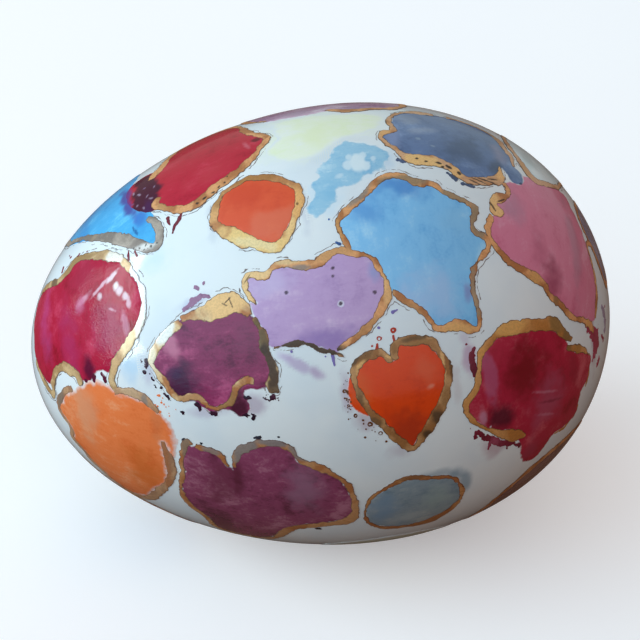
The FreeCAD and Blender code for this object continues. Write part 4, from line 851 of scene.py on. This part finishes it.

# Touches on the gold, given like the touches above: the pale and white ones are painted highlights and
# painted reflections of the window; the dark ones are where it is thin and dark, or pitted
GILT_TOUCHES_AND_HIGHLIGHTS = {
    # bud: the pale yellow touches are painted highlights on the gold
    "bud": [(-6.4, 31, 4.6, 1.9, "ffd488", .97, .4, -24), (-3, 33.2, 3, 1.5, "ffd084", .97, .5),
        (-10.6, 26.4, 1.2, 1.6, "f4c47e", .85, .6), (-.4, 25, 1, 5, "f8ba70", .9, .5),
        (-1.8, 30, 1.1, 3.6, "ffd08a", .95, .5), (-6.6, 31.4, 4, 1, "ffe0a4", .9, .6, -24),
        (-5.9, 11.4, 4.5, 1.6, "b07438", .8, .5), (-10.8, 16, 1.4, 2.6, "a8743e", .7, .6),
        (-.6, 22.6, .2, .3, "6e4a28", .8, .5), (-.2, 25.2, .24, .2, "6e4a28", .8, .5)],
    "crimson": [(-12.6, 13.4, .35, .22, "20120c", .95, .3, 30), (-11.4, 12.4, .3, .2, "20120c", .95, .3),
        *specks("20120c", .9, .3, (-13.6, 14.4, .26, .2), (-10.6, 11, .3, .2, 60), (-9.8, 10, .22, .2),
        (-9.4, 8, .2, .2)), (-18.4, 9.6, 1.2, 2, "c9945c", .7, .6)],
    # cerulean: the near-white touch at (-21.2, 22.6) is a painted highlight on the gold
    "cerulean": [(-21.2, 22.6, 2.6, .8, "f4f0ea", .85, .8, -20), (-28, 4, 3, .9, "a48a70", .6, .8, 30),
        (-22.6, 21.4, .22, .18, "3a3028", .9, .3), (-21.8, 22.4, .2, .2, "4a3e34", .9, .3),
        (-20.9, 22.2, .26, .16, "3a3028", .9, .3, 30), (-20.2, 23.4, .2, .2, "4a3e34", .9, .3),
        (-19.4, 23, .24, .16, "3a3028", .9, .3, -20), (-21.2, 23.6, .2, .14, "4a3e34", .9, .3),
        (-24.6, 19.4, .24, .2, "5a1822", .95, .3)],
    # lilac_sky: the pale yellow touches are painted highlights on the gold
    "lilac_sky": [(-7.9, 42.9, .9, 2.8, "ffd090", .95, .4), (-6.4, 40, 1.8, .9, "ffd090", .9, .5),
        (-8, 40.6, .9, .1, "5c4430", .8, .4, 50), (-7.6, 43.6, .1, .9, "5c4430", .8, .4, 10),
        (-2.6, 37.6, 3, .7, "f0c890", .85, .5), (-1.2, 39.9, 2.4, .6, "8d837c", .8, .5),
        (3, 37.4, 3, 1.2, "d09c62", .6, .6), (9.6, 46.6, 1, 3.4, "f4bc7c", .85, .6),
        (6.3, 56.1, 3, 1, "c88c54", .8, .6, 40), (-1.2, 59.4, 6.4, 1.7, "3a3024", .95, .3, -14),
        (7.2, 22.2, 3.2, 1.2, "9c9184", .85, .5, 40), (4.1, 31, 1, 2.6, "dc9e5e", .8, .5),
        (13.2, 18.2, 4.4, 1.4, "a08868", .85, .5), (19.6, 22.8, 2.4, 1.2, "a28a6a", .85, .5, -30),
        (22.2, 31, 1.2, 3.6, "a08a6e", .85, .5), (12.8, 54.8, 1.2, 3, "c48e58", .8, .6, 30),
        (18, 59.3, 3.4, 1.2, "f2b870", .85, .5), (20.7, 50, .8, 5, "a8947a", .8, .5)],
    # plum: the pale and white touches are painted highlights and painted glare of the window on the gold
    "plum": [(-11, 46.3, 4, 2.4, "ffcb88", .95, .5, 15),
        *specks("4c3424", .9, .4, (-10.8, 45.2, .8, .1, 40), (-10.4, 46, .1, .8, 20),
        (-11.2, 46.2, .5, .1, -30)), (-19.4, 51.6, 1.4, 2.2, "fffaf0", .95, .4, -40),
        (-21.6, 60, 1.2, 3.8, "ffeccc", .95, .5), (-21.3, 64, 1, 2, "eec894", .9, .5),
        (-17.4, 71, 2, .9, "d09a68", .9, .5), (-12.6, 71, 1.8, 2, "a8743f", .85, .5),
        (-7.4, 52.4, .8, 1.6, "6e5a34", .9, .5), (-6.8, 57, 1, 2.4, "6a5638", .9, .4),
        (-6.4, 62.6, 1.2, 3, "4a352a", .95, .3), (-6.2, 68.6, 1.4, 2, "5a4230", .9, .4),
        (-7, 66, .5, .8, "b58a5a", .9, .5, 30)],
    # rose: the pale yellow touches are painted highlights on the gold
    "rose": [(28.6, 48.6, 1.4, 3, "e8ac66", .85, .6), (24.7, 23.4, 1.4, 3.4, "ffca86", .9, .5),
        (24.4, 24.4, .16, .9, "2c1c12", .9, .3, 20), (25.6, 21.6, .8, .14, "2c1c12", .9, .3, 20),
        (35.6, 67.6, .8, 2, "eeb06a", .9, .5), (31.2, 55.6, .8, 3, "9a7046", .8, .6)],
    # ruby_blunt: the pale yellow touches are painted highlights on the gold
    "ruby_blunt": [(24.5, 61.5, 3.4, 1.5, "f0b466", .85, .5), (31, 63.4, 2, 1.6, "9a7440", .85, .5),
        (32.3, 70.6, 1.2, 3.4, "8e6c40", .85, .5), (33.6, 77, 1, 2, "bd8544", .9, .5),
        (20.6, 68.5, 1.2, 5, "eaa85c", .85, .6), (18.8, 79, 1.4, 5, "e2a05a", .85, .6)],
    # heart: the pale flecks along the inner edge are painted highlights on the gold
    "heart": [(6, 62.4, 1.8, 1.2, "8a6034", .85, .5, 20), (4.4, 64, 1.4, .5, "5c4228", .85, .7, 40),
        (5.2, 64.8, 1, .5, "f4be78", .9, .7, 40), (4.6, 66.6, .3, .8, "e8b070", .85, .6),
        (8.7, 63.8, .8, .25, "f4be78", .9, .6, -35), (9.4, 61.6, .5, 1.2, "9a6a3a", .8, .5),
        (12.4, 60.2, 2.8, .5, "6e5230", .85, .6), (13, 61.4, 2.4, .4, "aa7c48", .8, .6),
        (15.5, 67.6, .35, 3, "f4be7c", .9, .6), (16.5, 68, .35, 4, "74502e", .85, .6),
        (15.4, 77, .9, 2, "a87848", .8, .6), (14.2, 81.6, 1, 1.8, "5c442e", .9, .6, 30),
        (12.6, 85.8, 1, 1, "4c3624", .9, .6), (10, 83.6, 1.6, .7, "c88a4c", .9, .6, -45),
        (4.4, 74.6, .7, 3, "7c5a3a", .85, .6), (6.2, 80, 1.4, .7, "7c5a3a", .85, .6, -45)],
    # slate_seafoam: the pale yellow touches are painted highlights on the gold
    "slate_seafoam": [(11.8, -1.4, 1, 2.6, "f2b672", .85, .5),
        (16.4, 11.4, 3, 1.6, "ffcc84", .95, .4, -14), (20.4, 14, 1.4, 1.6, "ffc680", .9, .5, -30),
        *specks("20140c", .95, .3, (15.4, 10.4, .3, .2), (16.6, 11.2, .26, .18), (18.2, 11.4, .5, .26),
        (19.4, 12.4, .6, .3, -30), (18.6, 12.6, .3, .2), (20.6, 14.2, .4, .3, -40)),
        *specks("33261a", .95, .3, (23.2, 15.8, 1.4, .12, -6), (24, 15, 1.6, .12, 4),
        (22.6, 16.6, 1, .12, -10), (25, 13.8, 1, .12, 20)), (26.2, 10.4, 1, 2.4, "ffc47c", .9, .5),
        (29.6, 3, .9, 5, "dca468", .8, .6), (25.6, -14, 2.4, 2, "a5794e", .8, .6)],
    # ruby_tip: the white and near-white touches are painted glare of the window on the gold
    "ruby_tip": [(-22.6, 31, 1.2, 5, "ffffff", .97, .3), (-22.2, 39, 1.2, 5, "ffffff", .97, .3),
        (-22.8, 46, 1.2, 3.4, "fff6e4", .95, .4), (-25.4, 20.6, 1.6, 3, "fdf4e6", .9, .4),
        (-24.6, 53, 1.3, 3, "f0d3a0", .9, .5), (-31, 11, 4, 1.6, "ab8350", .85, .5),
        (-34.6, 8, 1, 4, "7a5f48", .85, .5), (-26.8, 61, 1.2, 3, "d8ac74", .8, .5)],
    "plum_belly": [(-10.8, 86, 1.6, 3, "8f8886", .85, .5, -30), (-7.4, 83.4, 3, 1, "8c8686", .85, .5),
        (-4, 86.6, 1.4, 2, "8f8886", .8, .5, 30), (-18.6, 90, 1, 5, "94806e", .8, .5),
        (-15.4, 87, 1.6, .7, "8f8886", .7, .5)],
    "teal_oval": [(10, 98.8, 3, 1, "8a5c3a", .7, .6), (11, 122, 4, 2, "b97a48", .7, .6)],
    "tangerine": [(-25, 69.6, 2.4, 1.2, "d9b48c", .8, .5, -20), (-23.3, 72, .8, 1.2, "988a80", .8, .5),
        (-22, 96, 1.2, 10, "b8744a", .85, .7), (-35.2, 78, 1, 4, "8d7c6c", .8, .5)],
}

# Gold that was burnt beside its line, and coats that are out of sight
BURNT = ("bud", "crimson", "cerulean", "lilac_sky", "plum", "slate_seafoam", "ruby_tip")
BEHIND = [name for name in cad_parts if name.endswith(("_back", "_under", "back_tip"))]


# ---- from CAD node to painted coat
def middle_of(node):
    low, high = (np.array(corner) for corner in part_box(node))
    x, y, z = to_egg((low + high) / 2)
    return x, degrees(atan2(-y, z))


def field_name(node):
    """The node's name without its first word: enamel_teal_oval is field teal_oval."""
    return node.split("_", 1)[1]


def touch_cover(u, v, facet, touch, seed):
    """How far one touch covers the points (u, v), with an uneven edge."""
    cu, cv = facet.of(touch.x, touch.a)
    du, dv = u - cu, v - cv
    c, s = cos(radians(touch.turn)), sin(radians(touch.turn))
    ring = np.hypot((du * c + dv * s) / touch.long, (dv * c - du * s) / touch.wide)
    ring = ring + 0.22 * rough(u, v, 1.4 * min(touch.long, touch.wide, 1.2), seed)
    return touch.strength * (1 - smooth(ring, 1 - touch.soft, 1))


def touched(u, v, facet, touches, seed):
    """Red, green, blue and cover of the listed touches over (u, v)."""
    tint = np.zeros((len(u), 4))
    for k, touch in enumerate(touches):
        touch = Touch(*touch)
        cover = touch_cover(u, v, facet, touch, seed + 7 * k)
        under = tint[:, 3] * (1 - cover)
        total = cover + under
        mixed = np.array(linear(touch.colour)[:3]) * cover[:, None] + tint[:, :3] * under[:, None]
        tint[:, :3] = mixed / np.maximum(total, 1e-6)[:, None]
        tint[:, 3] = total
    return tint


def enamel_piece(node, seed):
    field = field_name(node)
    facet = Facet(*middle_of(node))
    step = BACK_GRID if node in BEHIND else FRONT_GRID
    sheet = Sheet.within(top_rim(node, facet, ENAMEL), step)
    amount, size = RAGGED.get(field, EVEN_RIM)
    sheet.inside = sheet.inside + TUCK + SPREAD.get(field, 0) \
        + amount * rough(sheet.u, sheet.v, size, seed, 4)
    family = field.split("_")[0]
    material = enamel_material(field, **{**ENAMELS[family], **FIELD_LOOKS.get(field, {})})
    high = WASH_HIGH if "wash" in node else ENAMEL_HIGH
    profile = lambda u, v, inside: high * (0.2 + 0.8 * smooth(inside, 0, 0.5)) \
        + 0.1 * high * (1 + rough(u, v, 1.5, seed + 5))
    tint = touched(*sheet.triangles()[:2], facet, TOUCHES_AND_HIGHLIGHTS.get(field, []), seed)
    piece = coat_piece(node.replace("enamel", "paint"), sheet, facet, profile, material,
                       tint)
    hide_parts(node)


def gold_piece(node, seed):
    field = field_name(node)
    facet = Facet(*middle_of(node))
    step = GOLD_BACK_GRID if node in BEHIND else GOLD_GRID
    sheet = Sheet.within(top_rim(node, facet, GOLD), step)
    if field in BURNT:
        burnt_outline(field, sheet, facet, seed)
    sheet.inside = sheet.inside + GOLD_SWELL - SLIM.get(field, 0) \
        + 0.15 * rough(sheet.u, sheet.v, 1.3, seed) \
        + 0.09 * rough(sheet.u, sheet.v, 0.5, seed + 3)
    material = gold_material(field, **GOLD_LOOKS.get(field, {}))
    profile = lambda u, v, inside: GOLD_HIGH + 0.02 * smooth(inside, 0, 0.3)
    tint = touched(*sheet.triangles()[:2], facet, GILT_TOUCHES_AND_HIGHLIGHTS.get(field, []), seed)
    piece = coat_piece(node.replace("gold", "line"), sheet, facet, profile, material,
                       tint)
    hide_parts(node)


def burnt_outline(field, sheet, facet, seed):
    """Broken hair lines of burnt lustre that follow a gold line just outside it."""
    line = copy(sheet)
    wander = 0.2 * rough(sheet.u, sheet.v, 1.1, seed + 11)
    gaps = 0.12 * smooth(rough(sheet.u, sheet.v, 2.2, seed + 12, 2), 0, 0.3)
    line.inside = HAIR / 2 - abs(sheet.inside + HAIR_GAP + wander) - gaps
    if (line.inside > 0).any():
        coat_piece("burnt_" + field, line, facet, lambda u, v, inside: BURNT_HIGH + 0 * u,
                   burnt_material(field))


def mark_piece(name, family, strokes, seed, look, torn=0.07, slot=None):
    """Small marks of enamel, each a brush stroke through (x, a, width) points."""
    places = np.array([point[:2] for stroke in strokes for point in stroke])
    facet = Facet(*(places.min(0) + places.max(0)) / 2)
    drawn = [[(*facet.of(x, a), width) for x, a, width in stroke] for stroke in strokes]
    ends = np.array([point[:2] for stroke in drawn for point in stroke])
    sheet = Sheet(ends.min(0) - MARGIN, ends.max(0) + MARGIN, MARK_GRID)
    for stroke in drawn:
        for (u1, v1, w1), (u2, v2, w2) in zip(stroke, stroke[1:] or stroke):
            t, gap = sheet.along(np.array([u1, v1]), np.array([u2, v2]))
            sheet.inside = np.maximum(sheet.inside, (w1 + (w2 - w1) * t) / 2 - gap)
    sheet.inside = sheet.inside + torn * rough(sheet.u, sheet.v, 0.6, seed)
    material = enamel_material(name, **{**ENAMELS[family], "bare": 0.0, **look})
    profile = lambda u, v, inside: MARK_HIGH + 0.02 * smooth(inside, 0, 0.2)
    coat_piece(name, sheet, facet, profile, material)


def stain_piece(name, touches, seed):
    """A soft-edged stain, thin enough to lie in the glaze."""
    places = np.array([touch[:2] for touch in touches])
    facet = Facet(*(places.min(0) + places.max(0)) / 2)
    ends = np.array([facet.of(*touch[:2]) for touch in touches])
    reach = STAIN_REACH * max(max(touch[2:4]) for touch in touches)
    sheet = Sheet(ends.min(0) - reach, ends.max(0) + reach, STAIN_GRID)
    tint = touched(sheet.u.ravel(), sheet.v.ravel(), facet, touches, seed)
    sheet.inside = tint[:, 3].reshape(sheet.u.shape) - STAIN_EDGE
    u, v = sheet.triangles()[:2]
    coat_piece(name, sheet, facet, lambda u, v, inside: STAIN_HIGH + 0 * u, stain_material(name),
               touched(u, v, facet, touches, seed))


# ---- studio
LAMP_DISTANCE = 0.6
LAMP_COLOUR = (0.93, 0.97, 1.0)
FLOOR_HALF = 0.62        # half the floor's side
FLOOR_BOUNCE = (0.17, 0.075, 0.035, 1)
FLOOR_GLOW = 0.32        # only the camera sees it
EYE_WAY = (-3, 35)       # azimuth and height of the camera
EYE_DISTANCE = 0.35
EYE_LENS = 142.5
ROOM_SEEN = (0.84, 0.85, 0.87, 1)
GLOW_POWER = 3           # of the cosine: how tight each glow of the room is

# Soft glows of the room: azimuth, height, colour
ROOM_GLOWS = [(-80, 30, (0.60, 1.29, 1.68)), (0, 35, (0.80, 0.80, 0.81)),
              (85, 25, (0.14, 0.06, 0.02)), (0, 90, (0.16, 0.03, 0.0)),
              (180, 20, (0.38, 0.38, 0.30)), (130, 50, (0.12, 0.14, 0.16)),
              (145, 25, (0.22, 0.30, 0.34))]


def toward(azimuth, height):
    """Direction from the egg: azimuth 0 in front, positive to the right."""
    az, el = radians(azimuth), radians(height)
    return Vector((sin(az) * cos(el), -cos(az) * cos(el), sin(el)))


def area_light(name, azimuth, height, roll, width, tall, power):
    """A soft box at an azimuth and height from the egg, rolled about the way it faces."""
    way = toward(azimuth, height)
    data = bpy.data.lights.new(name, "AREA")
    data.shape = "RECTANGLE"
    data.size, data.size_y = width, tall
    data.energy = power
    data.color = LAMP_COLOUR
    lamp = bpy.data.objects.new(name, data)
    lamp.location = CENTRE + way * LAMP_DISTANCE
    turn = way.to_track_quat("Z", "Y") @ Quaternion((0, 0, 1), radians(roll))
    lamp.rotation_euler = turn.to_euler()
    bpy.context.scene.collection.objects.link(lamp)


def floor_material():
    """Pale to look at; what it throws back up at the egg is that of a dark table top."""
    nodes = Surface("pale_floor")
    cloud = nodes.noise(nodes.place(), 6.0, 3.0)
    pale = nodes.blend(nodes.spread(cloud, 0.3, 0.7), (0.80, 0.79, 0.78, 1),
                       (0.82, 0.81, 0.80, 1))
    seen = nodes.camera_ray()
    return nodes.finish(nodes.blend(seen, FLOOR_BOUNCE, pale), 0.9,
                        Emission_Color=(1.0, 0.96, 0.97, 1),
                        Emission_Strength=nodes.math("MULTIPLY", seen, FLOOR_GLOW))


def studio_floor():
    mesh = bpy.data.meshes.new("floor")
    corners = [(FLOOR_HALF * x, FLOOR_HALF * y, 0) for x, y in ((-1, -1), (1, -1), (1, 1), (-1, 1))]
    mesh.from_pydata(corners, [], [(0, 1, 2, 3)])
    mesh.materials.append(floor_material())
    floor = bpy.data.objects.new("floor", mesh)
    bpy.context.scene.collection.objects.link(floor)


def room_light():
    """A soft room: a broad cool glow from the left, weak ones from the other sides; looked at
    straight, it is an even pale grey."""
    world = bpy.data.worlds.new("studio")
    nodes = Nodes(world)
    way = nodes.add("TexCoord").outputs["Generated"]
    total = (0, 0, 0)
    for azimuth, height, colour in ROOM_GLOWS:
        facing = nodes.add("VectorMath", {0: way, 1: toward(azimuth, height)},
                           operation="DOT_PRODUCT").outputs["Value"]
        lobe = nodes.math("POWER", nodes.math("MAXIMUM", facing), GLOW_POWER)
        glow = nodes.add("VectorMath", {0: colour, "Scale": lobe}, operation="SCALE")
        total = nodes.add("VectorMath", {0: total, 1: glow.outputs[0]}, operation="ADD").outputs[0]
    sky = nodes.blend(nodes.camera_ray(), total, ROOM_SEEN)
    nodes.put(nodes.tree.nodes["Background"].inputs["Color"], sky)
    bpy.context.scene.world = world


def camera():
    data = bpy.data.cameras.new("camera")
    data.lens = EYE_LENS
    data.sensor_width = 36
    data.clip_start = 0.01
    eye = bpy.data.objects.new("camera", data)
    way = toward(*EYE_WAY)
    eye.location = CENTRE + way * EYE_DISTANCE
    eye.rotation_euler = way.to_track_quat("Z", "Y").to_euler()
    bpy.context.scene.collection.objects.link(eye)
    bpy.context.scene.camera = eye


CENTRE = (CAD_BOX[0] + CAD_BOX[1]) / 2

glaze_shell()
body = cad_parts["porcelain_body"].data
body.materials.clear()
body.materials.append(bisque_material())
for number, node in enumerate(sorted(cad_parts)):
    if node.startswith("enamel_"):
        enamel_piece(node, 100 + 20 * number)
    elif node.startswith("gold_"):
        gold_piece(node, 100 + 20 * number)

for number, (name, (family, strokes, look, *rest)) in enumerate(MARKS.items()):
    mark_piece(name, family, strokes, 2000 + 10 * number, look, *rest)
for number, (name, (slot, touches)) in enumerate(STAINS.items()):
    stain_piece(name, touches, 3000 + 100 * number)

area_light("window", -88, 17, roll=-32, width=0.52, tall=0.14, power=2.0)
area_light("far_window", -111, 11, roll=20, width=0.02, tall=0.17, power=0.09)
room_light()
studio_floor()
camera()
bpy.context.scene.view_settings.view_transform = "Standard"
